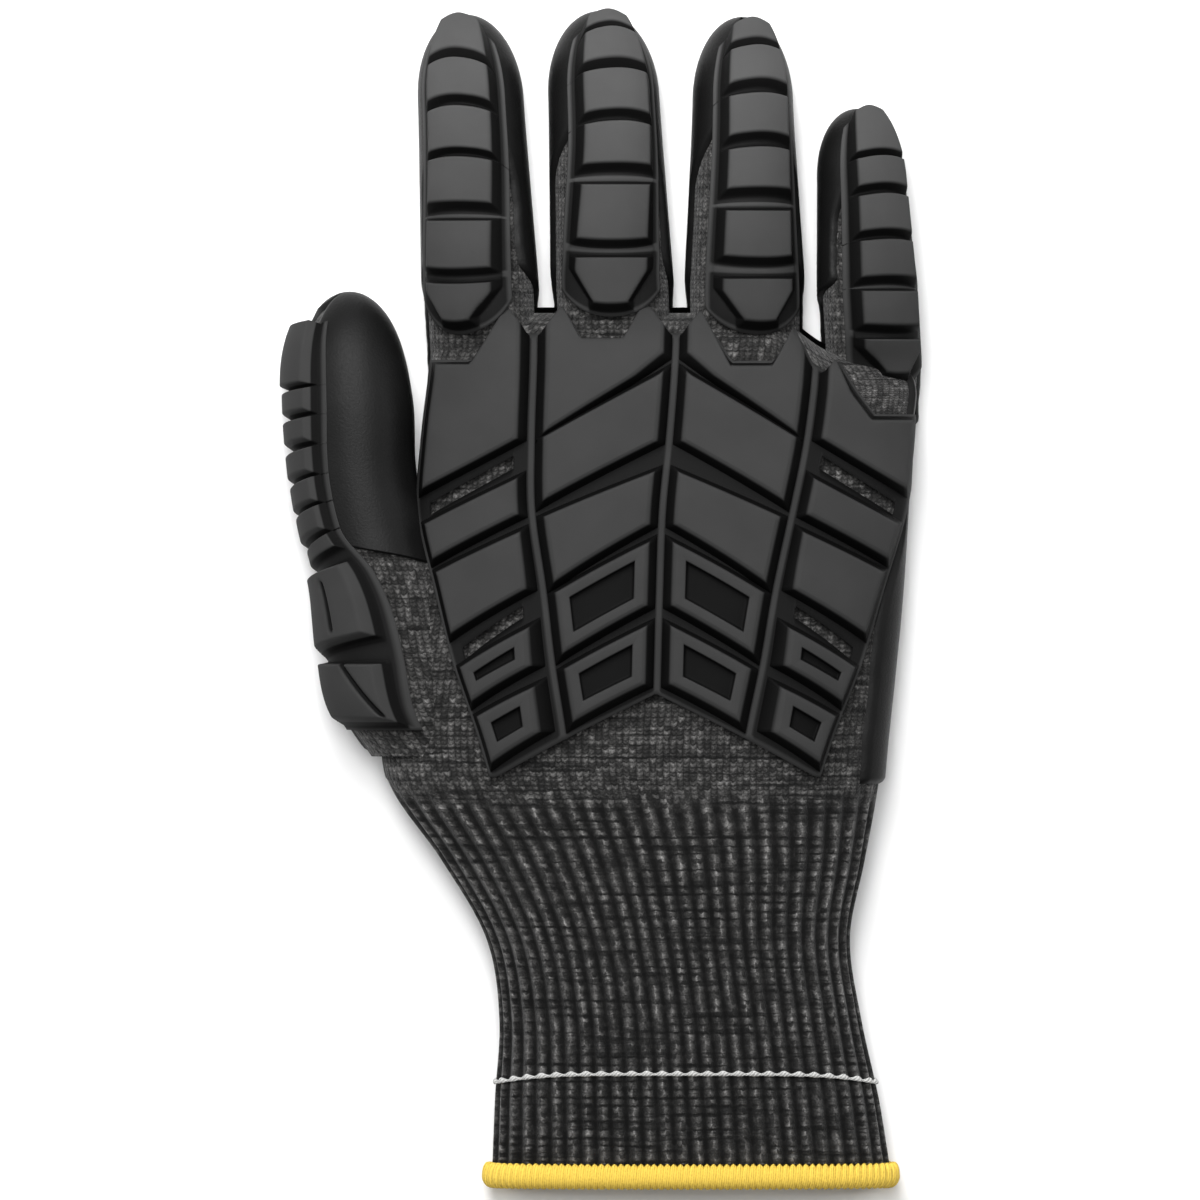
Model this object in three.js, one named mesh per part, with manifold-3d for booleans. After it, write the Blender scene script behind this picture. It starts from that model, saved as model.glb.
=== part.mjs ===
// A knitted work glove for the right hand, lying palm down, with moulded rubber guards on its back.
// Millimetres. +Z is up from the surface that the palm lies on, +Y runs from the cuff to the fingertips,
// and the thumb is on the -X side. The model is laid out from the wrist line, and then moved so that
// the origin is under the middle of the whole glove.
import * as THREE from "three";
import { mergeVertices } from "three/addons/utils/BufferGeometryUtils.js";
import Module from "manifold-3d";

const wasm = await Module();
wasm.setup();
const { Manifold, Mesh } = wasm;

// Walls and clearances
const fit_gap = 0.3;
const knit_wall = 1.6;
const coat_wall = 1.0;
const finger_root = 16; // how far the finger tubes start inside the palm
const floor_press = 3; // how far a round section would reach below its flattened underside
const lift = fit_gap + coat_wall; // the liner's underside lies this high, on the coating
const cut_past = 4; // how far a cutting shape reaches past an open end

// The hand and the cuff
const palm_length = 104.5;
const palm_width = 108;
const palm_height = 29;
const cuff_length = 82.5;
const wrist_width = 80;
const wrist_height = 26;
const body_square = 2.4;
const centre_share = 0.42; // height of a section's widest line, as a share of its top
const knuckle_round = 14;
const knuckle_drop = 9; // how much lower the web beside the little finger is
const drop_from = 0.2; // where across the palm that drop begins and ends, as shares of its width
const drop_to = 0.36;

// The hem and the marker thread
const hem_length = 5.3;
const hem_out = 2.3;
const hem_in = 2.2;
const marker_at = 63.5;
const marker_width = 1.3;
const marker_height = 0.7;

// Finger guards, angles in degrees from the middle of the guard
const guard_web = 1.2;
const guard_block = 2.9;
const guard_spread = 50;
const block_spread = 40;
const face_spread = 25;
const tip_side_wall = 0.4;
const wrist_side_wall = 2.2;
const taper_from = 0.35; // where a tapered block begins to narrow, as a share of its length
const finger_rims = { tip: 0.6, wrist: 0.8 }; // web beyond the first and the last block

// The back guard
const plate_length = 101.5;
const plate_top = 103.6;
const plate_half = 53;
const plate_web = 1.3;
const plate_block = 3.7;
const plate_side_wall = 2.7;
const plate_outer_wall = 1.2;
const plate_tip_wall = 1.3;
const plate_wrist_wall = 2.6;
const plate_border = 1.65;
const pad_inset = 3.3; // from a line between columns to a pad's face
const outer_inset = 3.8; // the same for the outer columns, which grow narrower towards the wrist
const outer_narrowing = 2.4;
const pad_root = 0.5; // how deep a pad starts inside the web
const slot_border = 1.5;
const frame_width = 2.3;
const recess_depth = 1.8;
const plate_set_back = 1.4; // from the webs to the peaks of the upper edge
const plate_dip = 4.2; // how much lower the upper edge is at the lines between columns
const plate_groove = 1.5;
const notch_clear = 6.6;
const notch_slope = 1.35;
const notch_flat = 4.7;

// The thumb and its guard
const thumb_length = 101;
const thumb_width = 24;
const thumb_height = 23;
const thumb_round = 17;
const thumb_root_x = -50;
const thumb_root_y = 7;
const thumb_block = 3.2;
const thumb_rims = { tip: 1.2, wrist: 1.2 };
const thumb_seam = 0.4; // where the thumb's sleeve begins, as a share of its length from the tip
const finger_square = 2.2;
const tube_centre_share = 0.46; // height of a tube's widest line, as a share of its top
const core_end = 2; // how far before a tip the core of a sector ends

// The coating, with its edges in degrees from the top
const coat_tip_turn = 10;
const coat_web_turn = 100;
const palm_coat_left = 262;
const palm_coat_right = 64;
const palm_coat_right_high = 80;
const thumb_coat_left = -100;
const thumb_coat_right = -20;
const thumb_coat_right_low = 72;
const guard_clear = 0.8; // room kept between the coating and a guard
const guard_clear_turn = 4;
const clear_past = 2; // how far the cleared room reaches above and below a guard

// Mesh fineness
const outer_mesh = { body: 24, finger: 12, rows: 3, caps: [0.6, 0.93] };
const coat_mesh = { body: 16, finger: 12, rows: 5 };
const inner_mesh = { body: 14, finger: 7, rows: 2, caps: [0.75] };
const hem_sides = 6;
const clearance_mesh = { rows: 9, turns: 4 };
const merge_distance = 0.001;

// Cuff sections from the hem up: distance below the wrist line as a share of the cuff's length,
// the left and right edges and the top as shares of the wrist's width and height.
const cuff_rows = [
  { at: -1.0, left: -0.473, right: 0.621, top: 0.75 },
  { at: -0.83, left: -0.466, right: 0.592, top: 0.81 },
  { at: -0.61, left: -0.454, right: 0.542, top: 0.92 },
  { at: -0.4, left: -0.49, right: 0.512, top: 1.0 },
  { at: -0.19, left: -0.614, right: 0.553, top: 1.07 },
];

// Palm sections from the wrist line up, as shares of the palm's length, width and height.
const palm_rows = [
  { at: 0, left: -0.556, right: 0.436, top: 0.98 },
  { at: 0.105, left: -0.575, right: 0.446, top: 1.0 },
  { at: 0.24, left: -0.568, right: 0.46, top: 1.01 },
  { at: 0.4, left: -0.54, right: 0.475, top: 1.0 },
  { at: 0.57, left: -0.503, right: 0.486, top: 0.98 },
  { at: 0.74, left: -0.488, right: 0.495, top: 0.94 },
  { at: 0.87, left: -0.478, right: 0.503, top: 0.9 },
  { at: 1.0, left: -0.468, right: 0.5, top: 0.86 },
];

// Fingers: where the root and tip lie across the palm as shares of its width, the length beyond the
// web line, the width and height, how far the guard is turned towards the little finger, the width
// near the tip and at the root as shares, where the coating stops on either side at the root in
// degrees from the top, how far the guard reaches as a share of the finger, and how far the middle of
// the back guard's notch lies beside the finger, as a share of its width.
const fingers = [
  {
    name: "index",
    root: -0.372, tip: -0.402, length: 64.5, width: 21.8, height: 19.5, turn: -12, root_turn: -20,
    near_tip: 0.95, at_root: 1.07, round: 17, coat_left: -66, coat_right: 44, end: 1.065, notch: -0.3,
  },
  {
    name: "middle",
    root: -0.103, tip: -0.13, length: 65.3, width: 24.6, height: 20.5, turn: 12, root_turn: -2,
    near_tip: 0.89, at_root: 1.0, round: 17, coat_left: -84, coat_right: 66, end: 1.0, notch: -0.1,
  },
  {
    name: "ring",
    root: 0.165, tip: 0.159, length: 64, width: 22.2, height: 19.5, turn: 16, root_turn: 11,
    near_tip: 0.88, at_root: 1.08, round: 17, coat_left: -80, coat_right: 78, end: 1.07, notch: 0.08,
  },
  {
    name: "little",
    root: 0.418, tip: 0.394, length: 43.8, width: 16.6, height: 17, turn: 24, root_turn: 22,
    near_tip: 1.0, at_root: 1.2, round: 14, coat_left: -40, coat_right: 84, end: 1.36, notch: 0.3,
  },
];

// Blocks of each finger guard: both edges as shares of the finger's length from its tip, and how much
// farther from the tip each edge lies at the sides of the guard. The last block tapers to a share of
// its width.
const finger_blocks = {
  index: [
    { from: -0.027, to: 0.092, from_bow: 0.0, to_bow: 0.1 },
    { from: 0.13, to: 0.256, from_bow: 0.1, to_bow: 0.075 },
    { from: 0.297, to: 0.437, from_bow: 0.075, to_bow: 0.055 },
    { from: 0.471, to: 0.62, from_bow: 0.05, to_bow: 0.02 },
    { from: 0.69, to: 0.85, from_bow: 0.0, to_bow: -0.02 },
    { from: 0.905, to: 1.03, from_bow: -0.02, to_bow: -0.12, taper: 0.45 },
  ],
  middle: [
    { from: -0.027, to: 0.012, from_bow: 0.0, to_bow: 0.09 },
    { from: 0.034, to: 0.138, from_bow: 0.09, to_bow: 0.07 },
    { from: 0.178, to: 0.313, from_bow: 0.06, to_bow: 0.055 },
    { from: 0.357, to: 0.495, from_bow: 0.05, to_bow: 0.02 },
    { from: 0.572, to: 0.755, from_bow: 0.0, to_bow: -0.025 },
    { from: 0.818, to: 0.97, from_bow: 0.0, to_bow: -0.09, taper: 0.45 },
  ],
  ring: [
    { from: -0.02, to: 0.048, from_bow: 0.0, to_bow: 0.07 },
    { from: 0.079, to: 0.192, from_bow: 0.07, to_bow: 0.07 },
    { from: 0.247, to: 0.378, from_bow: 0.05, to_bow: 0.05 },
    { from: 0.433, to: 0.568, from_bow: 0.04, to_bow: 0.02 },
    { from: 0.653, to: 0.81, from_bow: 0.0, to_bow: -0.025 },
    { from: 0.887, to: 1.03, from_bow: 0.0, to_bow: -0.09, taper: 0.45 },
  ],
  little: [
    { from: -0.05, to: 0.171, from_bow: 0.0, to_bow: 0.07 },
    { from: 0.21, to: 0.345, from_bow: 0.07, to_bow: 0.06 },
    { from: 0.402, to: 0.575, from_bow: 0.06, to_bow: 0.05 },
    { from: 0.633, to: 0.81, from_bow: 0.04, to_bow: 0.03 },
    { from: 0.894, to: 1.06, from_bow: 0.0, to_bow: -0.02 },
    { from: 1.136, to: 1.3, from_bow: 0.0, to_bow: -0.1, taper: 0.45 },
  ],
};

// Thumb sections from the tip down, as shares of its length, width and height: the middle's place
// across from the root, the half width and the top.
const thumb_rows = [
  { at: 0, x: -0.8, half: 0.43, top: 0.88 },
  { at: 0.12, x: -0.79, half: 0.45, top: 0.92 },
  { at: 0.24, x: -0.755, half: 0.49, top: 1.0 },
  { at: 0.38, x: -0.72, half: 0.48, top: 1.02 },
  { at: 0.5, x: -0.62, half: 0.5, top: 1.04 },
  { at: 0.63, x: -0.46, half: 0.53, top: 1.08 },
  { at: 0.78, x: -0.36, half: 0.58, top: 1.1 },
  { at: 0.9, x: -0.24, half: 0.62, top: 1.08 },
  { at: 1.0, x: 0.0, half: 0.6, top: 1.0 },
];

// Blocks of the thumb guard as shares of the thumb's length, with how far each leans towards the
// wrist at its outer side, and its height as a share of the thumb's block.
const thumb_blocks = [
  { from: 0.055, to: 0.19, lean: 0.01, rise: 1.0 },
  { from: 0.207, to: 0.25, lean: 0.012, rise: 0.85 },
  { from: 0.272, to: 0.315, lean: 0.014, rise: 0.85 },
  { from: 0.342, to: 0.388, lean: 0.02, rise: 0.85 },
  { from: 0.41, to: 0.455, lean: 0.025, rise: 0.8 },
  { from: 0.475, to: 0.52, lean: 0.03, rise: 0.75 },
  { from: 0.54, to: 0.565, lean: 0.035, rise: 0.5 },
  { from: 0.6, to: 0.745, lean: 0.03, rise: 1.0 },
  { from: 0.8, to: 0.915, lean: 0.0, rise: 0.9 },
];

// Edges of the thumb guard in degrees from the thumb's top, by shares of its length.
const thumb_edges = [
  { at: 0.0, left: -96, right: -30 },
  { at: 0.15, left: -112, right: -24 },
  { at: 0.5, left: -112, right: -26 },
  { at: 0.6, left: -108, right: -6 },
  { at: 0.75, left: -100, right: 4 },
  { at: 0.95, left: -84, right: 2 },
];

// Lines of the back guard by shares of its length: the middle line across, the line between the inner
// and the outer columns, and the outer edge, as shares of its half width.
const plate_lines = [
  { at: 0.0, middle: 0.052, inner: 0.59, outer: 0.97 },
  { at: 0.1, middle: 0.045, inner: 0.585, outer: 0.985 },
  { at: 0.27, middle: 0.02, inner: 0.57, outer: 1.0 },
  { at: 0.42, middle: -0.008, inner: 0.54, outer: 0.985 },
  { at: 0.59, middle: -0.02, inner: 0.482, outer: 0.9 },
  { at: 0.75, middle: -0.028, inner: 0.437, outer: 0.815 },
  { at: 0.9, middle: -0.035, inner: 0.385, outer: 0.71 },
  { at: 1.0, middle: -0.038, inner: 0.36, outer: 0.65 },
];

// Pads of the back guard, the same on both sides of its middle line. Each edge's place along the
// guard is a share of its length, at the side nearer the middle line and at the farther side.
const plate_pads = [
  { column: "inner", top_near: 0.0, top_far: 0.0, base_near: 0.09, base_far: 0.241, framed: false },
  { column: "inner", top_near: 0.13, top_far: 0.262, base_near: 0.267, base_far: 0.388, framed: false },
  { column: "inner", top_near: 0.343, top_far: 0.434, base_near: 0.447, base_far: 0.564, framed: false },
  { column: "inner", top_near: 0.495, top_far: 0.597, base_near: 0.621, base_far: 0.718, framed: true },
  { column: "inner", top_near: 0.675, top_far: 0.761, base_near: 0.79, base_far: 0.865, framed: true },
  { column: "outer", top_near: 0.0, top_far: 0.0, base_near: 0.262, base_far: 0.364, framed: false },
  { column: "outer", top_near: 0.358, top_far: 0.451, base_near: 0.425, base_far: 0.516, framed: false },
  { column: "outer", top_near: 0.473, top_far: 0.555, base_near: 0.587, base_far: 0.677, framed: false },
  { column: "outer", top_near: 0.681, top_far: 0.76, base_near: 0.753, base_far: 0.823, framed: true },
  { column: "outer", top_near: 0.809, top_far: 0.866, base_near: 0.897, base_far: 0.955, framed: true },
];

// Lower end of the back guard's web as a share of its length, by the distance from the middle line
// as a share of its half width.
const plate_foot = [{ at: 0, end: 0.815 }, { at: 0.38, end: 0.915 }, { at: 0.66, end: 0.995 }];

// Slots through the web of the outer columns, placed like the pads.
const plate_slots = [
  { top_near: 0.302, top_far: 0.402, base_near: 0.33, base_far: 0.428 },
  { top_near: 0.626, top_far: 0.716, base_near: 0.651, base_far: 0.741 },
];

const clamp = (value, low, high) => Math.min(high, Math.max(low, value));
const mix = (a, b, share) => a + (b - a) * share;
const radians = (degrees) => (degrees * Math.PI) / 180;
const range = (count) => Array.from({ length: count }, (_, i) => i);

function smooth(value, from, to) {
  const share = clamp((value - from) / (to - from), 0, 1);
  return share * share * (3 - 2 * share);
}

// A smooth line through one field of a table, ordered by its "at" column.
function along(rows, at, field) {
  const last = rows.length - 1;
  if (at <= rows[0].at) return rows[0][field];
  if (at >= rows[last].at) return rows[last][field];
  const i = rows.findIndex((row, index) => index < last && at <= rows[index + 1].at);
  const slope = (k) => {
    const low = rows[Math.max(0, k - 1)];
    const high = rows[Math.min(last, k + 1)];
    return (high[field] - low[field]) / (high.at - low.at);
  };
  const span = rows[i + 1].at - rows[i].at;
  const s = (at - rows[i].at) / span;
  const rise = rows[i + 1][field] - rows[i][field];
  const start = slope(i) * span;
  const end = slope(i + 1) * span;
  const second = s ** 2 * (3 * rise - 2 * start - end);
  const third = s ** 3 * (start + end - 2 * rise);
  return rows[i][field] + s * start + second + third;
}

const power = (value, square) => Math.sign(value) * Math.abs(value) ** (2 / square);

// A point on an oval section, measured from its widest line; the lower half is deeper.
function oval(angle, half, rise, depth, square) {
  const side = power(Math.sin(angle), square);
  const up = power(Math.cos(angle), square);
  return [half * side, up > 0 ? rise * up : depth * up];
}

// The body of the glove: the cuff and the palm in one
const sized = (rows, length, width, height) => rows.map((row) => ({
  at: row.at * length,
  left: row.left * width,
  right: row.right * width,
  top: row.top * height,
}));
const body_rows = [
  ...sized(cuff_rows, cuff_length, wrist_width, wrist_height),
  ...sized(palm_rows, palm_length, palm_width, palm_height),
];
const round_start = palm_length - knuckle_round;

// How far the webs beside the little finger are pulled back towards the wrist.
function webDrop(x, at) {
  return knuckle_drop * smooth(x / palm_width, drop_from, drop_to) * smooth(at / palm_length, 0.75, 1);
}

// A point on the body, out from the liner's surface by an offset along the section's normal.
function bodyPoint(at, angle, offset) {
  const left = along(body_rows, at, "left");
  const right = along(body_rows, at, "right");
  const top = along(body_rows, at, "top");
  const over = clamp((at - round_start) / knuckle_round, 0, 0.995);
  const shrink = Math.sqrt(1 - over * over);
  const widest = top * centre_share;
  const half = ((right - left) / 2) * (1 - 0.08 * (1 - shrink));
  const rise = (top - widest) * shrink;
  const depth = (widest + floor_press) * shrink;
  const here = oval(angle, half, rise, depth, body_square);
  const step = 0.01;
  const before = oval(angle - step, half, rise, depth, body_square);
  const after = oval(angle + step, half, rise, depth, body_square);
  const tangent = [after[0] - before[0], after[1] - before[1]];
  const size = Math.hypot(...tangent) || 1;
  const x = (left + right) / 2 + here[0] - (offset * shrink * tangent[1]) / size;
  const z = widest + here[1] + (offset * shrink * tangent[0]) / size;
  return [x, at + offset * over - webDrop(x, at), Math.max(z, lift - offset, 0)];
}

// Fingers and thumb are tubes along +Y whose sections are ovals; each has a rounded tip.
function fingerTube(finger) {
  const tip = palm_length + finger.length;
  const rows = [
    { at: -finger.length * 0.3, width: finger.near_tip, top: 1.0 },
    { at: finger.length * 0.25, width: finger.near_tip, top: 1.0 },
    { at: finger.length * 0.6, width: (finger.near_tip + finger.at_root) / 2, top: 1.04 },
    { at: finger.length * 0.9, width: finger.at_root, top: 1.12 },
    { at: finger.length, width: finger.at_root, top: 1.14 },
    { at: finger.length + 5, width: finger.at_root, top: 1.08 },
    { at: finger.length + 11, width: finger.at_root, top: 0.9 },
    { at: finger.length + 20, width: finger.at_root * 0.95, top: 0.75 },
  ];
  return {
    tip,
    round: finger.round,
    length: finger.length,
    middle: (y) => palm_width * mix(finger.tip, finger.root, clamp((tip - y) / finger.length, -0.2, 1.3)),
    half: (y) => (along(rows, tip - y, "width") * finger.width) / 2,
    top: (y) => along(rows, tip - y, "top") * finger.height,
  };
}

const thumb_tube = {
  tip: thumb_root_y + thumb_length,
  round: thumb_round,
  length: thumb_length,
  middle: (y) => thumb_root_x + thumb_width * along(thumb_rows, thumbShare(y), "x"),
  half: (y) => thumb_width * along(thumb_rows, thumbShare(y), "half"),
  top: (y) => thumb_height * along(thumb_rows, thumbShare(y), "top"),
};

function thumbShare(y) {
  return (thumb_root_y + thumb_length - y) / thumb_length;
}

// A point on a tube. "y" is where the outer face of a piece with the offset "seen" would lie, so that
// pieces at different offsets share their normals over the rounded tip.
function tubePoint(tube, y, angle, offset, seen = 0) {
  const start = tube.tip - tube.round;
  const over = clamp((y - start) / (tube.round + seen), 0, 1);
  const shrink = Math.sqrt(1 - over * over);
  const place = over > 0 ? start + over * (tube.round + offset) : y;
  const top = tube.top(place);
  const widest = top * tube_centre_share;
  const half = (tube.half(place) + offset) * shrink;
  const rise = (top - widest + offset) * shrink;
  const depth = (widest + floor_press + offset) * shrink;
  const [x, z] = oval(angle, half, rise, depth, finger_square);
  return [tube.middle(place) + x, place, Math.max(widest + z, lift - offset, 0)];
}

// Solids
function solid(points, faces) {
  let volume = 0;
  for (const [a, b, c] of faces) {
    const [p, q, r] = [points[a], points[b], points[c]].map((point) => new THREE.Vector3(...point));
    volume += p.dot(q.cross(r));
  }
  const order = volume < 0 ? faces.map(([a, b, c]) => [a, c, b]) : faces;
  const geometry = new THREE.BufferGeometry();
  geometry.setAttribute("position", new THREE.BufferAttribute(new Float32Array(points.flat()), 3));
  geometry.setIndex(order.flat());
  return fromGeometry(geometry, merge_distance / 10);
}

// A closed tube through rings of points, with both ends fanned shut.
function loft(rings) {
  const count = rings[0].length;
  const points = rings.flat();
  const faces = [];
  for (let r = 0; r + 1 < rings.length; r += 1) {
    for (let i = 0; i < count; i += 1) {
      const next = (i + 1) % count;
      const a = r * count + i;
      const b = r * count + next;
      faces.push([a, b, b + count], [a, b + count, a + count]);
    }
  }
  for (const [r, flip] of [[0, true], [rings.length - 1, false]]) {
    const centre = [0, 1, 2].map((axis) => rings[r].reduce((sum, point) => sum + point[axis], 0) / count);
    points.push(centre);
    for (let i = 0; i < count; i += 1) {
      const a = r * count + i;
      const b = r * count + ((i + 1) % count);
      faces.push(flip ? [points.length - 1, b, a] : [points.length - 1, a, b]);
    }
  }
  return solid(points, faces);
}

// A closed ring through sections that follow each other around.
function hoop(sections) {
  const count = sections[0].length;
  const points = sections.flat();
  const faces = [];
  for (let s = 0; s < sections.length; s += 1) {
    const here = s * count;
    const next = ((s + 1) % sections.length) * count;
    for (let i = 0; i < count; i += 1) {
      const j = (i + 1) % count;
      faces.push([here + i, here + j, next + j], [here + i, next + j, next + i]);
    }
  }
  return solid(points, faces);
}

const ringAngles = (count) => range(count).map((i) => (2 * Math.PI * i) / count);

// Where the body's sections lie, with the rounded end at the webs
function bodyRows(from, caps) {
  const cuff = [-1, -0.8, -0.606, -0.4, -0.194].map((share) => cuff_length * share);
  const palm = [0.019, 0.21, 0.421, 0.612, 0.765].map((share) => palm_length * share);
  const rows = [...cuff, ...palm, round_start].filter((at) => at > from + cut_past / 2);
  return [from, ...rows, ...caps.map((share) => round_start + knuckle_round * share)];
}

function tubeRows(tube, from, steps, caps) {
  const start = tube.tip - tube.round;
  const rows = range(steps + 1).map((i) => mix(from, start, i / steps));
  return [...rows, ...caps.map((share) => start + tube.round * share)];
}

function bodySolid(offset, open_end, fineness) {
  const angles = ringAngles(fineness.body);
  const rows = bodyRows(open_end, fineness.caps);
  return loft(rows.map((at) => angles.map((angle) => bodyPoint(at, angle, offset))));
}

function tubeSolid(tube, offset, from, steps, fineness) {
  const angles = ringAngles(fineness.finger);
  const rows = tubeRows(tube, from, steps, fineness.caps);
  return loft(rows.map((y) => angles.map((angle) => tubePoint(tube, y, angle, offset))));
}

const finger_tubes = Object.fromEntries(fingers.map((finger) => [finger.name, fingerTube(finger)]));

// Everything that the liner's surface encloses, grown by an offset.
function handSolid(offset, open_end, root_shift, fineness) {
  const root = palm_length - finger_root + root_shift;
  const steps = fineness.rows;
  const tubes = Object.values(finger_tubes).map((tube) => tubeSolid(tube, offset, root, steps, fineness));
  const thumb = tubeSolid(thumb_tube, offset, thumb_root_y + root_shift, steps + 2, fineness);
  return Manifold.union([bodySolid(offset, open_end, fineness), ...tubes, thumb]);
}

// A solid from a core line out to a curved face over part of a tube.
function sector(rows, core) {
  return loft(rows.map((row, i) => [core(i), ...row]));
}

// Height of a guard along a list of blocks with a steep side to the tip and a slope to the wrist, and
// with a rim of bare web at both ends.
function guardRows(blocks, length, block, rims) {
  const rows = [];
  for (const [i, item] of blocks.entries()) {
    const share = item.rise ?? 1;
    const height = guard_web + block * share;
    const next = blocks[i + 1]?.from ?? Infinity;
    const room = (next - item.to) * length - tip_side_wall - merge_distance * 100;
    const wall = Math.min(wrist_side_wall * share, room);
    const taper = item.taper ?? 1;
    rows.push({ at: item.from - tip_side_wall / length, bow: item.from_bow, height: guard_web, taper: 1 });
    rows.push({ at: item.from, bow: item.from_bow, height, taper: 1 });
    if (taper < 1) {
      const bow = mix(item.from_bow, item.to_bow, taper_from);
      rows.push({ at: mix(item.from, item.to, taper_from), bow, height, taper: 1 });
    }
    rows.push({ at: item.to, bow: item.to_bow, height, taper });
    rows.push({ at: item.to + wall / length, bow: item.to_bow, height: guard_web, taper });
  }
  const first = rows[0];
  const last = rows[rows.length - 1];
  return [
    { ...first, at: first.at - rims.tip / length }, ...rows, { ...last, at: last.at + rims.wrist / length },
  ];
}

// Places across a guard: how far out, and whether a block reaches its full height there.
const finger_turns = [
  [-guard_spread, false], [-block_spread, false], [-face_spread, true], [0, true], [face_spread, true],
  [block_spread, false], [guard_spread, false],
];
const thumb_turns = [
  [-1, false], [-0.82, false], [-0.55, true], [0, true], [0.55, true], [0.82, false], [1, false],
];

const guard_seen = fit_gap + guard_web + guard_block;
const guardTurn = (finger, share) => mix(finger.turn, finger.root_turn, smooth(share, 0.3, 1));

function fingerGuard(finger) {
  const tube = finger_tubes[finger.name];
  const rows = guardRows(finger_blocks[finger.name], finger.length, guard_block, finger_rims);
  const faces = rows.map((row) => finger_turns.map(([turn, full]) => {
    const reach = Math.abs(turn) < guard_spread ? turn * row.taper : turn;
    const y = tube.tip - finger.length * (row.at + row.bow * (reach / guard_spread) ** 2);
    const height = full ? row.height : guard_web;
    return tubePoint(tube, y, radians(guardTurn(finger, row.at) + reach), fit_gap + height, guard_seen);
  }));
  return sector(faces, (i) => {
    const y = tube.tip - finger.length * rows[i].at;
    return [tube.middle(Math.min(y, tube.tip - core_end)), faces[i][3][1], tube.top(y) * tube_centre_share];
  });
}

// The smooth shape that a guard needs kept clear of the coating.
function guardClearance(tube, edges, from, to) {
  const { rows: steps, turns } = clearance_mesh;
  const rows = range(steps + 1).map((i) => mix(from, to, i / steps));
  const faces = rows.map((at) => range(turns + 1).map((j) => {
    const [left, right] = edges(at);
    const angle = radians(mix(left, right, j / turns));
    return tubePoint(tube, tube.tip - tube.length * at, angle, guard_seen + guard_clear, guard_seen);
  }));
  return sector(faces, (i) => {
    const y = Math.min(tube.tip - tube.length * rows[i], tube.tip - core_end);
    return [tube.middle(y), faces[i][turns / 2][1], tube.top(y) * tube_centre_share - guard_web];
  });
}

function thumbGuard() {
  const seen = fit_gap + guard_web + thumb_block;
  const blocks = thumb_blocks.map((item) => ({ ...item, from_bow: item.lean, to_bow: item.lean }));
  const rows = guardRows(blocks, thumb_length, thumb_block, thumb_rims);
  const faces = rows.map((row) => thumb_turns.map(([turn, full]) => {
    const at = row.at - row.bow * turn;
    const left = along(thumb_edges, at, "left");
    const right = along(thumb_edges, at, "right");
    const angle = radians(mix(left, right, (turn + 1) / 2));
    const height = full ? row.height : guard_web;
    return tubePoint(thumb_tube, thumb_tube.tip - thumb_length * at, angle, fit_gap + height, seen);
  }));
  return sector(faces, (i) => {
    const y = thumb_tube.tip - thumb_length * rows[i].at;
    return [thumb_tube.middle(y), faces[i][3][1], thumb_tube.top(y) * tube_centre_share];
  });
}

// The coating: sectors of the grown shape around the palm side, cut away inside.
function coatSector(tube, edges, from) {
  const count = coat_mesh.finger;
  const faces = tubeRows(tube, from, coat_mesh.rows, outer_mesh.caps).map((y) => {
    const [left, right] = edges((tube.tip - y) / tube.length);
    const angles = range(count + 1).map((i) => radians(mix(right, 360 + left, i / count)));
    return angles.map((angle) => tubePoint(tube, y, angle, lift));
  });
  return sector(faces, (i) => {
    const y = Math.min(faces[i][0][1], tube.tip - core_end);
    return [tube.middle(y), faces[i][0][1], tube.top(y) * tube_centre_share];
  });
}

function palmCoatSector() {
  const rows = bodyRows(coat_wall, outer_mesh.caps);
  const count = coat_mesh.body;
  const faces = rows.map((at) => {
    const right = mix(palm_coat_right, palm_coat_right_high, smooth(at / palm_length, 0.335, 0.593));
    return range(count + 1).map((i) => bodyPoint(at, radians(mix(right, palm_coat_left, i / count)), lift));
  });
  return sector(faces, (i) => {
    const at = rows[i];
    const middle = (faces[i][0][0] + faces[i][count][0]) / 2;
    return [middle, at, along(body_rows, at, "top") * centre_share - coat_wall];
  });
}

// The back guard. A point is found from where its outer face is seen from above.
function backPoint(x, y, offset, seen) {
  let at = y;
  for (let i = 0; i < 4; i += 1) at = y + webDrop(x, at);
  let low = -Math.PI / 2;
  let high = Math.PI / 2;
  for (let i = 0; i < 30; i += 1) {
    const angle = (low + high) / 2;
    if (bodyPoint(at, angle, seen)[0] < x) low = angle;
    else high = angle;
  }
  return bodyPoint(at, (low + high) / 2, offset);
}

const plateShare = (y) => (plate_top - y) / plate_length;
const plateY = (share) => plate_top - plate_length * share;

// The upper edge runs around the lower end of each finger guard.
function plateTopEdge(x) {
  const notches = fingers.map((finger) => {
    const tube = finger_tubes[finger.name];
    const end = tube.tip - finger.length * finger.end;
    const beside = Math.abs(x - tube.middle(end) - finger.width * finger.notch) - notch_flat;
    return end - notch_clear + notch_slope * Math.max(0, beside);
  });
  const peak = palm_length - plate_set_back - webDrop(x, palm_length);
  const lines = [plateLine(-1, "inner", 0), plateLine(1, "middle", 0), plateLine(1, "inner", 0)];
  const dips = lines.map((line) => peak - plate_dip + Math.max(0, Math.abs(x - line) - plate_groove));
  return Math.min(...notches, ...dips, peak);
}

function plateLine(side, column, share) {
  const middle = plate_half * along(plate_lines, share, "middle");
  const reach = column === "middle" ? 0 : plate_half * along(plate_lines, share, column);
  return middle + side * reach;
}

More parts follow.
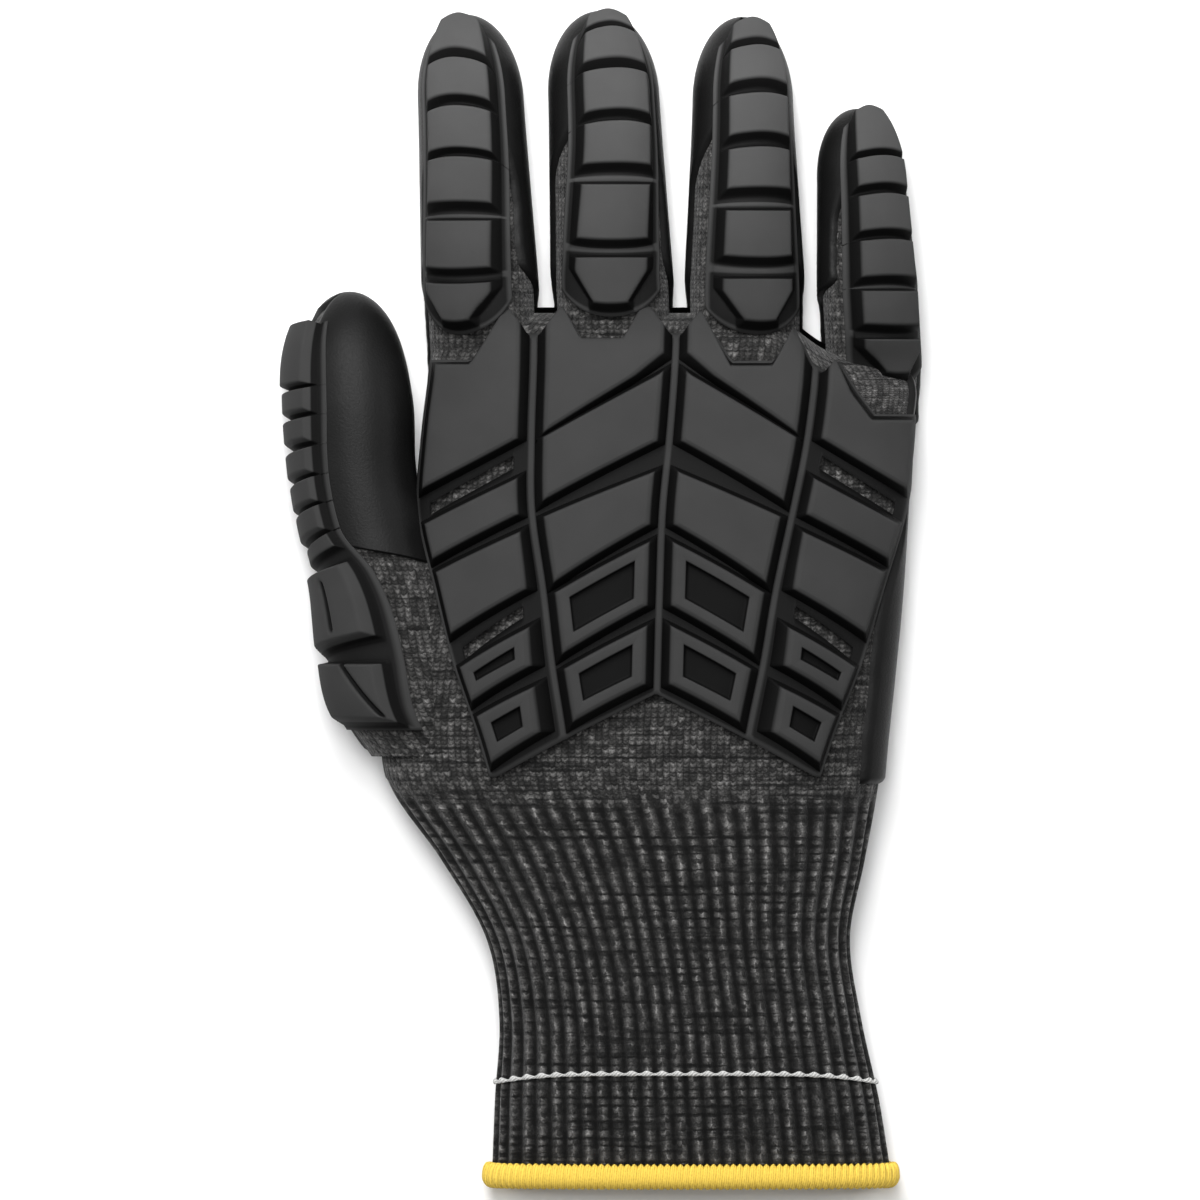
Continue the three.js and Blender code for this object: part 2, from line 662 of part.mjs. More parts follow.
// A place on a pad by its shares across and down the face, pushed out by the pad's walls. The slanted
// edges are read where the pushed point lies, so that walls and recesses stay parallel to the face.
function padPlace(side, pad, across, down, grow) {
  const inner = pad.column === "inner";
  const level = (share) => {
    const inset = inner ? pad_inset : outer_inset + outer_narrowing * smooth(share, 0.4, 0.9);
    const near = plateLine(side, inner ? "middle" : "inner", share) + side * inset;
    const far = plateLine(side, inner ? "inner" : "outer", share) - side * (inner ? pad_inset : 0);
    const near_grow = grow.side > 0 ? (grow.side * inset) / pad_inset : grow.side;
    const x = mix(near - side * near_grow, far + side * (inner ? grow.side : grow.outer), across);
    return { x, across: (x - near) / (far - near) };
  };
  const upper = level(mix(pad.top_near, pad.top_far, across));
  const lower = level(mix(pad.base_near, pad.base_far, across));
  const slanted = plateY(mix(pad.top_near, pad.top_far, upper.across));
  const top = Math.min(slanted, plateTopEdge(upper.x) - plate_border);
  const base = plateY(mix(pad.base_near, pad.base_far, lower.across));
  const y = mix(top + grow.tip, base - grow.wrist, down);
  return [level(clamp(plateShare(y), 0, 1)).x, y];
}

// Corners of a pad's outline; a pad of the top row follows the notch around its finger.
function padOutline(side, pad, grow) {
  const place = (across, down) => padPlace(side, pad, across, down, grow);
  const upper = pad.top_near === 0 ? [0, 0.17, 0.38, 0.64, 0.83] : [0, 0.5];
  return [
    ...upper.map((across) => place(across, 0)),
    ...[0, 0.5].map((down) => place(1, down)),
    ...upper.map((across) => place(1 - across, 1)),
    ...[1, 0.5].map((down) => place(0, down)),
  ];
}

// A solid over an outline seen from above, between offsets; each level has its own outline.
function backLoft(levels) {
  return loft(levels.map((level) => (
    level.outline.map(([x, y]) => backPoint(x, y, level.offset, level.seen))
  )));
}

const web_offset = fit_gap + plate_web;
const pad_offset = web_offset + plate_block;
const pad_walls = {
  side: plate_side_wall, outer: plate_outer_wall, tip: plate_tip_wall, wrist: plate_wrist_wall,
};
const evenWalls = (amount) => ({ side: amount, outer: amount, tip: amount, wrist: amount });

function padSolid(side, pad) {
  return backLoft([
    { outline: padOutline(side, pad, pad_walls), offset: web_offset - pad_root, seen: web_offset },
    { outline: padOutline(side, pad, evenWalls(0)), offset: pad_offset, seen: pad_offset },
  ]);
}

// A pad's foot grown by a clearance, to be kept clear of the coating
function padClearance(side, pad) {
  const walls = Object.entries(pad_walls).map(([name, wall]) => [name, wall + guard_clear]);
  const outline = padOutline(side, pad, { ...Object.fromEntries(walls), side: plate_side_wall });
  return backLoft([
    { outline, offset: -clear_past, seen: web_offset },
    { outline, offset: web_offset + clear_past, seen: web_offset },
  ]);
}

function recessSolid(side, pad) {
  const outline = padOutline(side, pad, evenWalls(-frame_width));
  return backLoft([
    { outline, offset: pad_offset - recess_depth, seen: pad_offset },
    { outline, offset: pad_offset + clear_past, seen: pad_offset },
  ]);
}

function slotSolid(side, slot) {
  const outline = padOutline(side, { column: "outer", ...slot }, { ...evenWalls(0), outer: -slot_border });
  return backLoft([
    { outline, offset: -clear_past, seen: web_offset },
    { outline, offset: web_offset + clear_past, seen: web_offset },
  ]);
}

// The web under all pads, closed below inside the hand before the hand is cut away from it.
function webSolid(grow, height) {
  const across = [-1, -0.84, -0.7, -0.59, -0.38, -0.23, -0.11, 0, 0.11, 0.26, 0.38, 0.59, 0.7, 0.84, 1];
  const lower = (x) => {
    const share = Math.abs(x - plateLine(1, "middle", 0.9)) / plate_half;
    return plateY(along(plate_foot, share, "end"));
  };
  const middle = (across.length - 1) / 2;
  const faces = [0, 0.25, 0.5, 0.75, 1].map((down) => across.map((u) => {
    let x = 0;
    let y = palm_length / 2;
    for (let i = 0; i < 8; i += 1) {
      const share = clamp(plateShare(y), 0, 1);
      const half = plate_half * along(plate_lines, share, "outer") + plate_border + grow;
      x = plateLine(1, "middle", share) + u * half;
      y = mix(plateTopEdge(x) + grow, lower(x) - grow, down);
    }
    return backPoint(x, y, fit_gap + height, web_offset);
  }));
  return sector(faces, (i) => {
    const places = [faces[i][0], faces[i][middle], faces[i][2 * middle]];
    return [-1, places.reduce((sum, point) => sum + point[1], 0) / places.length, palm_height / 5];
  });
}

function backGuard() {
  const pads = [];
  const recesses = [];
  for (const side of [-1, 1]) {
    for (const pad of plate_pads) {
      pads.push(padSolid(side, pad));
      if (pad.framed) recesses.push(recessSolid(side, pad));
    }
    for (const slot of plate_slots) recesses.push(slotSolid(side, slot));
  }
  return Manifold.union([webSolid(0, plate_web), ...pads]).subtract(Manifold.union(recesses));
}

function hemRing() {
  const middle = (hem_out - hem_in) / 2;
  const thick = (hem_out + hem_in) / 2;
  const start = -cuff_length - fit_gap;
  return hoop(ringAngles(outer_mesh.body).map((angle) => range(hem_sides).map((i) => {
    const turn = (2 * Math.PI * (i + 0.5)) / hem_sides;
    const reach = Math.cos(Math.PI / hem_sides);
    const y = start - (hem_length / 2) * (1 - Math.cos(turn) / reach);
    const point = bodyPoint(-cuff_length, angle, middle + thick * Math.sin(turn));
    return [point[0], y, point[2]];
  })));
}

function markerRing() {
  const levels = [[-1, 0], [1, 0], [1, 1], [-1, 1]];
  return hoop(ringAngles(outer_mesh.body).map((angle) => levels.map(([end, out]) => {
    const at = -marker_at + (end * marker_width) / 2;
    return bodyPoint(at, angle, fit_gap + out * marker_height);
  })));
}

// The space around a finger beyond the seam where its sleeve begins
function seamSpace(left, right, from, to) {
  const outline = [[left, from], [right, from], [right, to], [left, to]];
  return loft([-palm_height, 2 * palm_height].map((z) => outline.map(([x, y]) => [x, y, z])));
}

// The spaces of all five sleeves, with their lower ends moved towards the tips by a shift
function seamSpaces(shift) {
  const spaces = {};
  const reach = palm_length + Math.max(...fingers.map((finger) => finger.length)) + fit_gap;
  const between = (i) => {
    if (i < 0) return -palm_width / 2 - fit_gap;
    if (i >= fingers.length - 1) return palm_width;
    const [low, high] = [finger_tubes[fingers[i].name], finger_tubes[fingers[i + 1].name]];
    const low_edge = low.middle(palm_length) + low.half(palm_length);
    return (low_edge + high.middle(palm_length) - high.half(palm_length)) / 2;
  };
  for (const [i, finger] of fingers.entries()) {
    const from = palm_length + fit_gap - webDrop(between(i - 1), palm_length);
    spaces[finger.name] = seamSpace(between(i - 1), between(i), from + shift, reach);
  }
  const seam = thumb_tube.tip - thumb_length * thumb_seam;
  const edge = thumb_tube.middle(seam) + thumb_tube.half(seam) + fit_gap;
  spaces.thumb = seamSpace(-palm_width, edge, seam + shift, thumb_tube.tip + fit_gap);
  return spaces;
}

// The assembly
const grown = handSolid(fit_gap, -cuff_length - cut_past, -fit_gap, outer_mesh);
const outside = handSolid(0, -cuff_length, 0, outer_mesh);
const liner = outside.subtract(handSolid(-knit_wall, -cuff_length - cut_past, knit_wall, inner_mesh));

const guard_shapes = {};
const clearances = [];
for (const finger of fingers) {
  guard_shapes[`${finger.name}_guard`] = fingerGuard(finger);
  const tube = finger_tubes[finger.name];
  const spread = guard_spread + guard_clear_turn;
  const edges = (share) => [guardTurn(finger, share) - spread, guardTurn(finger, share) + spread];
  clearances.push(guardClearance(tube, edges, finger_blocks[finger.name][0].from - 0.08, finger.end));
}
guard_shapes.thumb_guard = thumbGuard();
const thumbRange = (at) => [
  along(thumb_edges, at, "left") - guard_clear_turn,
  along(thumb_edges, at, "right") + 1.75 * guard_clear_turn,
];
clearances.push(guardClearance(thumb_tube, thumbRange, 0.025, 0.96));
clearances.push(webSolid(guard_clear, plate_web + plate_block));
const outer_pads = plate_pads.filter((pad) => pad.column === "outer");
for (const side of [-1, 1]) {
  for (const pad of outer_pads) clearances.push(padClearance(side, pad));
}

const coat_parts = [palmCoatSector()];
for (const finger of fingers) {
  const tube = finger_tubes[finger.name];
  const edges = (share) => {
    const fade = smooth(share, 0.25, 0.6);
    const web = smooth(share, 0.82, 0.97);
    const left = mix(mix(-coat_tip_turn, finger.coat_left, fade), -coat_web_turn, web);
    return [left, mix(mix(coat_tip_turn, finger.coat_right, fade), coat_web_turn, web)];
  };
  const root = palm_length - finger_root + fit_gap - webDrop(tube.middle(palm_length), palm_length);
  coat_parts.push(coatSector(tube, edges, root));
}
// On its back the thumb coating ends half way down, and the knit shows from there to the wrist.
const thumbCoatEdges = (share) => [
  thumb_coat_left,
  mix(thumb_coat_right, thumb_coat_right_low, smooth(share, 0.52, 0.62)),
];
coat_parts.push(coatSector(thumb_tube, thumbCoatEdges, thumb_root_y + coat_wall));
const coating = Manifold.union(coat_parts).subtract(Manifold.union([grown, ...clearances]));

// The largest body of a solid: cutting can leave a loose crumb beside it.
function largest(shape) {
  return shape.decompose().reduce((best, item) => (item.volume() > best.volume() ? item : best));
}

const sleeve_spaces = Manifold.union(Object.values(seamSpaces(-fit_gap / 2)));
const pieces = {
  knit_liner: { body: largest(liner.subtract(sleeve_spaces)), material: "knit" },
  palm_coating: { body: largest(coating), material: "coating" },
  back_guard: { body: largest(backGuard().subtract(grown)), material: "rubber" },
};
for (const [name, space] of Object.entries(seamSpaces(fit_gap / 2))) {
  pieces[`${name}_sleeve`] = { body: largest(liner.intersect(space)), material: "knit" };
}
for (const [name, body] of Object.entries(guard_shapes)) {
  pieces[name] = { body: largest(body.subtract(grown)), material: "rubber" };
}
pieces.cuff_hem = { body: hemRing(), material: "hem" };
pieces.marker_thread = { body: markerRing(), material: "marker" };

const looks = {
  knit: { color: 0x3a3a3c, roughness: 0.95 },
  coating: { color: 0x17171a, roughness: 0.5 },
  rubber: { color: 0x2b2b2e, roughness: 0.65 },
  hem: { color: 0xf2c428, roughness: 0.9 },
  marker: { color: 0xeeeeea, roughness: 0.9 },
};

const materials = Object.fromEntries(Object.entries(looks).map(([name, look]) => {
  const material = new THREE.MeshStandardMaterial({ ...look, metalness: 0 });
  material.name = name;
  return [name, material];
}));

// A solid from a geometry, without the triangles that merging its close vertices closes up.
function fromGeometry(geometry, tolerance) {
  const places = geometry.attributes.position;
  for (let i = 0; i < places.array.length; i += 1) {
    places.array[i] = Math.round(places.array[i] / tolerance) * tolerance;
  }
  const merged = mergeVertices(geometry, tolerance / 10);
  const index = merged.index.array;
  const kept = [];
  for (let i = 0; i < index.length; i += 3) {
    const [a, b, c] = [index[i], index[i + 1], index[i + 2]];
    if (a !== b && b !== c && a !== c) kept.push(a, b, c);
  }
  const vertProperties = new Float32Array(merged.attributes.position.array);
  return new Manifold(new Mesh({ numProp: 3, vertProperties, triVerts: new Uint32Array(kept) }));
}

function toGeometry(body) {
  const data = body.getMesh();
  const geometry = new THREE.BufferGeometry();
  geometry.setAttribute("position", new THREE.BufferAttribute(new Float32Array(data.vertProperties), 3));
  geometry.setIndex(new THREE.BufferAttribute(new Uint32Array(data.triVerts), 1));
  return geometry;
}

// The origin goes under the middle of the whole glove.
const boxes = Object.values(pieces).map(({ body }) => body.boundingBox());
const lowest = [0, 1, 2].map((axis) => Math.min(...boxes.map((item) => item.min[axis])));
const highest = [0, 1, 2].map((axis) => Math.max(...boxes.map((item) => item.max[axis])));
const shift = [-(lowest[0] + highest[0]) / 2, -(lowest[1] + highest[1]) / 2, -lowest[2]];

const glove = new THREE.Group();
glove.name = "impact_glove";
for (const [name, { body, material }] of Object.entries(pieces)) {
  const moved = toGeometry(body).translate(...shift);
  const geometry = toGeometry(largest(fromGeometry(moved, merge_distance)));
  geometry.computeVertexNormals();
  const mesh = new THREE.Mesh(geometry, materials[material]);
  mesh.name = name;
  glove.add(mesh);
}

export default glove;
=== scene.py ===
"""The looks of a knitted right-hand work glove with moulded rubber guards, lying palm down.

Every piece is made from the same sections as its solid, in millimetres laid out from the wrist line,
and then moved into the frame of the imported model.
"""

import math

import bpy
import numpy as np
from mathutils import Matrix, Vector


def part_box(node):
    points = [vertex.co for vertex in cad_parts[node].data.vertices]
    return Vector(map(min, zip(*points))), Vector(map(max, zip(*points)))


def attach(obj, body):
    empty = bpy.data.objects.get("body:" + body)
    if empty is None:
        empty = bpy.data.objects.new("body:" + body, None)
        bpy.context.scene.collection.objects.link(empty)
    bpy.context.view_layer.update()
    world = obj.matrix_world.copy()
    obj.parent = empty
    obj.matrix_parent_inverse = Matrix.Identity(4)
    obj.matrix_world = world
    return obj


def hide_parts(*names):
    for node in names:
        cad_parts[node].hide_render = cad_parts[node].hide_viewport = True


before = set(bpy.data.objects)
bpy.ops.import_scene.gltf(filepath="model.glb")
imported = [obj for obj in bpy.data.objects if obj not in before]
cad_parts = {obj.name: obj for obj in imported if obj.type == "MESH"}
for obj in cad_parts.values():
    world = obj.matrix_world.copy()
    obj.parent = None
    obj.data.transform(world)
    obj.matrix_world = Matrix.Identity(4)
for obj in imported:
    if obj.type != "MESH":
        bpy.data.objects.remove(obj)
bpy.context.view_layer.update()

# Walls and clearances of the solids, in millimetres
FIT_GAP = 0.3
KNIT_WALL = 1.6
COAT_WALL = 1.0
FLOOR_PRESS = 3.0
LIFT = FIT_GAP + COAT_WALL

# The hand and the cuff
PALM_LENGTH = 104.5
PALM_WIDTH = 108.0
PALM_HEIGHT = 29.0
CUFF_LENGTH = 82.5
WRIST_WIDTH = 80.0
WRIST_HEIGHT = 26.0
BODY_SQUARE = 2.4
CENTRE_SHARE = 0.42
KNUCKLE_ROUND = 14.0
KNUCKLE_DROP = 9.0
DROP_FROM = 0.2
DROP_TO = 0.36
DROP_START = 0.75
ROUND_START = PALM_LENGTH - KNUCKLE_ROUND
ROUND_LIMIT = 0.995
ROUND_NARROWING = 0.08
FINGER_ROOT = 16.0
FINGER_SQUARE = 2.2
TUBE_CENTRE_SHARE = 0.46

# The hem and the marker thread
HEM_LENGTH = 5.3
HEM_OUT = 2.3
HEM_IN = 2.2
MARKER_AT = 63.5
MARKER_WIDTH = 1.3
MARKER_THICK = 0.42
MARKER_OUT = 0.3
MARKER_FOLLOW = 0.8

# Guards
GUARD_WEB = 1.2
GUARD_BLOCK = 2.9
GUARD_SPREAD = 50.0
BLOCK_SPREAD = 40.0
FACE_SPREAD = 25.0
TIP_SIDE_WALL = 0.4
WRIST_SIDE_WALL = 2.2
TAPER_FROM = 0.35
STRIP_HALF = 0.6
STRIP_RISE = 0.45
RIM_OFFSET = 0.1
GUARD_MIDDLE = 8.0
EDGE_RIDGE = 1.5
THUMB_BLOCK = 3.2
THUMB_SIDE = 0.82
THUMB_FACE = 0.55
THUMB_GUARD_HALF = 14
CREASE_HALF = 0.9
CREASE_DEPTH = 1.5
THUMB_LENGTH = 101.0
THUMB_WIDTH = 24.0
THUMB_HEIGHT = 23.0
THUMB_ROUND = 17.0
THUMB_ROOT_X = -50.0
THUMB_ROOT_Y = 7.0

# The back guard
PLATE_LENGTH = 101.5
PLATE_TOP = 103.6
PLATE_HALF = 53.0
PLATE_WEB = 1.3
PLATE_BLOCK = 3.7
PLATE_BORDER = 1.65
PLATE_SET_BACK = 1.4
PLATE_DIP = 4.2
PLATE_GROOVE = 1.5
NOTCH_CLEAR = 6.6
NOTCH_SLOPE = 1.35
NOTCH_FLAT = 4.7
FRAME_WIDTH = 2.3
RECESS_DEPTH = 1.8
SIDE_WALL = 2.7
OUTER_WALL = 1.2
PAD_INSET = 3.3
PAD_ROOT = 0.5
OUTER_INSET = 3.8
OUTER_NARROWING = 2.4
SLOT_BORDER = 1.5
RIDGE_HALF = 0.9
TIP_WALL = 1.3
WRIST_WALL = 2.6

# The knit
RIB_COUNT = 55
RIB_DEPTH = 0.9
WALES_AROUND_BODY = 165
WALES_AROUND_FINGER = 48
COURSE_PITCH = 1.0


def table(fields, *rows):
    """Rows of numbers by field; a row may leave out the last fields."""
    return [dict(zip(fields.split(), row)) for row in rows]


CUFF_ROWS = table(
    "at left right top",
    (-1.0, -0.473, 0.621, 0.75),
    (-0.83, -0.466, 0.592, 0.81),
    (-0.61, -0.454, 0.542, 0.92),
    (-0.4, -0.49, 0.512, 1.0),
    (-0.19, -0.614, 0.553, 1.07),
)
PALM_ROWS = table(
    "at left right top",
    (0, -0.556, 0.436, 0.98),
    (0.105, -0.575, 0.446, 1.0),
    (0.24, -0.568, 0.46, 1.01),
    (0.4, -0.54, 0.475, 1.0),
    (0.57, -0.503, 0.486, 0.98),
    (0.74, -0.488, 0.495, 0.94),
    (0.87, -0.478, 0.503, 0.9),
    (1.0, -0.468, 0.5, 0.86),
)
FINGERS = [
    {"name": "index", "root": -0.372, "tip": -0.402, "length": 64.5, "width": 21.8, "height": 19.5,
     "turn": -12, "root_turn": -20, "near_tip": 0.95, "at_root": 1.07, "round": 17,
     "coat_left": -66, "coat_right": 44, "end": 1.065, "notch": -0.3, "strips": (0.675, 0.882)},
    {"name": "middle", "root": -0.103, "tip": -0.13, "length": 65.3, "width": 24.6, "height": 20.5,
     "turn": 12, "root_turn": -2, "near_tip": 0.89, "at_root": 1.0, "round": 17,
     "coat_left": -84, "coat_right": 66, "end": 1.0, "notch": -0.1, "strips": (0.552, 0.795)},
    {"name": "ring", "root": 0.165, "tip": 0.159, "length": 64, "width": 22.2, "height": 19.5,
     "turn": 16, "root_turn": 11, "near_tip": 0.88, "at_root": 1.08, "round": 17,
     "coat_left": -80, "coat_right": 78, "end": 1.07, "notch": 0.08, "strips": (0.63, 0.86)},
    {"name": "little", "root": 0.418, "tip": 0.394, "length": 43.8, "width": 16.6, "height": 17,
     "turn": 24, "root_turn": 22, "near_tip": 1.0, "at_root": 1.2, "round": 14,
     "coat_left": -40, "coat_right": 84, "end": 1.36, "notch": 0.3, "strips": (0.873, 1.115)},
]
BLOCK_FIELDS = "from to from_bow to_bow taper"
FINGER_BLOCKS = {
    "index": table(
        BLOCK_FIELDS,
        (-0.027, 0.092, 0.1, 0.1),
        (0.13, 0.256, 0.1, 0.075),
        (0.297, 0.437, 0.075, 0.055),
        (0.471, 0.62, 0.05, 0.02),
        (0.69, 0.85, 0.0, -0.02),
        (0.905, 1.03, -0.02, -0.12, 0.45),
    ),
    "middle": table(
        BLOCK_FIELDS,
        (-0.027, 0.012, 0.1, 0.09),
        (0.034, 0.138, 0.09, 0.07),
        (0.178, 0.313, 0.06, 0.055),
        (0.357, 0.495, 0.05, 0.02),
        (0.572, 0.755, 0.0, -0.025),
        (0.818, 0.97, 0.0, -0.09, 0.45),
    ),
    "ring": table(
        BLOCK_FIELDS,
        (-0.02, 0.048, 0.1, 0.07),
        (0.079, 0.192, 0.07, 0.07),
        (0.247, 0.378, 0.05, 0.05),
        (0.433, 0.568, 0.04, 0.02),
        (0.653, 0.81, 0.0, -0.025),
        (0.887, 1.03, 0.0, -0.09, 0.45),
    ),
    "little": table(
        BLOCK_FIELDS,
        (-0.05, 0.171, 0.1, 0.07),
        (0.21, 0.345, 0.07, 0.06),
        (0.402, 0.575, 0.06, 0.05),
        (0.633, 0.81, 0.04, 0.03),
        (0.894, 1.06, 0.0, -0.02),
        (1.136, 1.3, 0.0, -0.1, 0.45),
    ),
}
THUMB_ROWS = table(
    "at x half top",
    (0, -0.8, 0.43, 0.88),
    (0.12, -0.79, 0.45, 0.92),
    (0.24, -0.755, 0.49, 1.0),
    (0.38, -0.72, 0.48, 1.02),
    (0.5, -0.62, 0.5, 1.04),
    (0.63, -0.46, 0.53, 1.08),
    (0.78, -0.36, 0.58, 1.1),
    (0.9, -0.24, 0.62, 1.08),
    (1.0, 0.0, 0.6, 1.0),
)
THUMB_BLOCKS = table(
    "from to from_bow to_bow rise",
    (0.055, 0.19, 0.01, 0.01, 1.0),
    (0.207, 0.25, 0.012, 0.012, 0.85),
    (0.272, 0.315, 0.014, 0.014, 0.85),
    (0.342, 0.388, 0.02, 0.02, 0.85),
    (0.41, 0.455, 0.025, 0.025, 0.8),
    (0.475, 0.52, 0.03, 0.03, 0.75),
    (0.54, 0.565, 0.035, 0.035, 0.5),
    (0.6, 0.745, 0.03, 0.03, 1.0),
    (0.8, 0.915, 0.0, 0.0, 0.9),
)
THUMB_EDGES = table(
    "at left right",
    (0.0, -96, -30),
    (0.15, -112, -24),
    (0.5, -112, -26),
    (0.6, -108, -6),
    (0.75, -100, 4),
    (0.95, -84, 2),
)
PLATE_LINES = table(
    "at middle inner outer",
    (0.0, 0.052, 0.59, 0.97),
    (0.1, 0.045, 0.585, 0.985),
    (0.27, 0.02, 0.57, 1.0),
    (0.42, -0.008, 0.54, 0.985),
    (0.59, -0.02, 0.482, 0.9),
    (0.75, -0.028, 0.437, 0.815),
    (0.9, -0.035, 0.385, 0.71),
    (1.0, -0.038, 0.36, 0.65),
)
PLATE_FOOT = table("at drop", (0, 0), (0.38, 0.1), (0.66, 0.18))
INNER_PADS = table(
    "top_near top_far base_near base_far framed",
    (0.0, 0.0, 0.09, 0.241),
    (0.13, 0.262, 0.267, 0.388),
    (0.343, 0.434, 0.447, 0.564),
    (0.495, 0.597, 0.621, 0.718, True),
    (0.675, 0.761, 0.79, 0.865, True),
)
OUTER_PADS = table(
    "top_near top_far base_near base_far framed",
    (0.0, 0.0, 0.262, 0.364),
    (0.358, 0.451, 0.425, 0.516),
    (0.473, 0.555, 0.587, 0.677),
    (0.681, 0.76, 0.753, 0.823, True),
    (0.809, 0.866, 0.897, 0.955, True),
)
PLATE_SLOTS = table(
    "top_near top_far base_near base_far",
    (0.302, 0.402, 0.33, 0.428),
    (0.626, 0.716, 0.651, 0.741),
)


# Small tools

def mix(a, b, share):
    return a + (b - a) * share


def smooth(value, low, high):
    share = np.clip((np.asarray(value, float) - low) / (high - low), 0, 1)
    return share * share * (3 - 2 * share)


def along(rows, at, field):
    """A smooth line through one field of a table, ordered by its "at" column."""
    places = np.array([row["at"] for row in rows], float)
    values = np.array([row[field] for row in rows], float)
    at = np.clip(np.asarray(at, float), places[0], places[-1])
    i = np.clip(np.searchsorted(places, at, side="left") - 1, 0, len(places) - 2)
    order = np.arange(len(places))
    low = np.maximum(order - 1, 0)
    high = np.minimum(order + 1, len(places) - 1)
    slope = (values[high] - values[low]) / (places[high] - places[low])
    span = places[i + 1] - places[i]
    s = (at - places[i]) / span
    rise = values[i + 1] - values[i]
    start = slope[i] * span
    end = slope[i + 1] * span
    return values[i] + s * start + s**2 * (3 * rise - 2 * start - end) + s**3 * (start + end - 2 * rise)


def power(value, square):
    return np.sign(value) * np.abs(value) ** (2 / square)


def oval(angle, half, rise, depth, square):
    side = power(np.sin(angle), square)
    up = power(np.cos(angle), square)
    return half * side, np.where(up > 0, rise * up, depth * up)


def ripple(value, seed):
    """A gentle wave that doesn't repeat soon, between about -1 and 1."""
    broad = 0.5 * np.sin(value + seed) + 0.3 * np.sin(value * 2.3 + seed * 1.7)
    return broad + 0.2 * np.sin(value * 5.1 + seed * 2.9)


# The body of the glove

def body_rows(rows, length, width, height):
    """A table of shares of a length, width and height, in millimetres."""
    units = {"at": length, "left": width, "right": width, "top": height}
    return [{field: row[field] * unit for field, unit in units.items()} for row in rows]


BODY_ROWS = body_rows(CUFF_ROWS, CUFF_LENGTH, WRIST_WIDTH, WRIST_HEIGHT)
BODY_ROWS += body_rows(PALM_ROWS, PALM_LENGTH, PALM_WIDTH, PALM_HEIGHT)


def web_drop(x, at):
    """How far the knuckle end lies back towards the little finger."""
    beside = smooth(np.asarray(x) / PALM_WIDTH, DROP_FROM, DROP_TO)
    return KNUCKLE_DROP * beside * smooth(np.asarray(at) / PALM_LENGTH, DROP_START, 1)


class Body:
    """The sections of the body at some places along it."""

    def __init__(self, at):
        self.at = np.asarray(at, float)
        left = along(BODY_ROWS, self.at, "left")
        right = along(BODY_ROWS, self.at, "right")
        top = along(BODY_ROWS, self.at, "top")
        self.over = np.clip((self.at - ROUND_START) / KNUCKLE_ROUND, 0, ROUND_LIMIT)
        self.shrink = np.sqrt(1 - self.over**2)
        self.widest = top * CENTRE_SHARE
        self.middle = (left + right) / 2
        self.half = (right - left) / 2 * (1 - ROUND_NARROWING * (1 - self.shrink))
        self.rise = (top - self.widest) * self.shrink
        self.depth = (self.widest + FLOOR_PRESS) * self.shrink

    def shape(self, angle):
        return oval(angle, self.half, self.rise, self.depth, BODY_SQUARE)

    def point(self, angle, offset):
        step = 0.01
        x, z = self.shape(angle)
        x0, z0 = self.shape(angle - step)
        x1, z1 = self.shape(angle + step)
        size = np.maximum(np.hypot(x1 - x0, z1 - z0), 1e-9)
        out_x = self.middle + x - offset * self.shrink * (z1 - z0) / size
        out_z = self.widest + z + offset * self.shrink * (x1 - x0) / size
        y = self.at + offset * self.over - web_drop(out_x, self.at)
        return np.stack([out_x, y, np.maximum(np.maximum(out_z, LIFT - offset), 0)], -1)


HALVINGS = 24


def back_point(x, y, offset):
    """The point above the back that is seen at x, y from above, out from the liner by an offset."""
    x, y, offset = np.broadcast_arrays(*[np.asarray(value, float) for value in (x, y, offset)])
    at = y.copy()
    for _ in range(4):
        at = y + web_drop(x, at)
    body = Body(at)
    low = np.full(x.shape, -math.pi / 2)
    high = np.full(x.shape, math.pi / 2)
    for _ in range(HALVINGS):
        angle = (low + high) / 2
        under = body.point(angle, offset)[..., 0] < x
        low = np.where(under, angle, low)
        high = np.where(under, high, angle)
    return body.point((low + high) / 2, offset)


# Fingers and thumb

class Tube:
    """A tube along +Y with oval sections and a rounded tip."""

    def __init__(self, tip, length, tip_round, middle, half, top):
        self.tip = tip
        self.length = length
        self.round = tip_round
        self.middle = middle
        self.half = half
        self.top = top

    def point(self, y, angle, offset, seen=0.0):
        start = self.tip - self.round
        over = np.clip((y - start) / (self.round + seen), 0, 1)
        shrink = np.sqrt(1 - over**2)
        place = np.where(over > 0, start + over * (self.round + offset), y)
        top = self.top(place)
        widest = top * TUBE_CENTRE_SHARE
        x, z = oval(angle, (self.half(place) + offset) * shrink, (top - widest + offset) * shrink,
                    (widest + FLOOR_PRESS + offset) * shrink, FINGER_SQUARE)
        z = np.maximum(np.maximum(widest + z, LIFT - offset), 0)
        return np.stack(np.broadcast_arrays(self.middle(place) + x, place, z), -1)


def finger_tube(finger):
    length = finger["length"]
    tip = PALM_LENGTH + length
    near, root = finger["near_tip"], finger["at_root"]
    rows = table(
        "at width top",
        (-length * 0.3, near, 1.0),
        (length * 0.25, near, 1.0),
        (length * 0.6, (near + root) / 2, 1.04),
        (length * 0.9, root, 1.12),
        (length, root, 1.14),
        (length + 5, root, 1.08),
        (length + 11, root, 0.9),
        (length + 20, root * 0.95, 0.75),
    )
    return Tube(
        tip, length, finger["round"],
        lambda y: PALM_WIDTH * mix(finger["tip"], finger["root"],
                                   np.clip((tip - y) / length, -0.2, 1.3)),
        lambda y: along(rows, tip - y, "width") * finger["width"] / 2,
        lambda y: along(rows, tip - y, "top") * finger["height"],
    )


THUMB_TIP = THUMB_ROOT_Y + THUMB_LENGTH


def thumb_share(y):
    return (THUMB_TIP - y) / THUMB_LENGTH


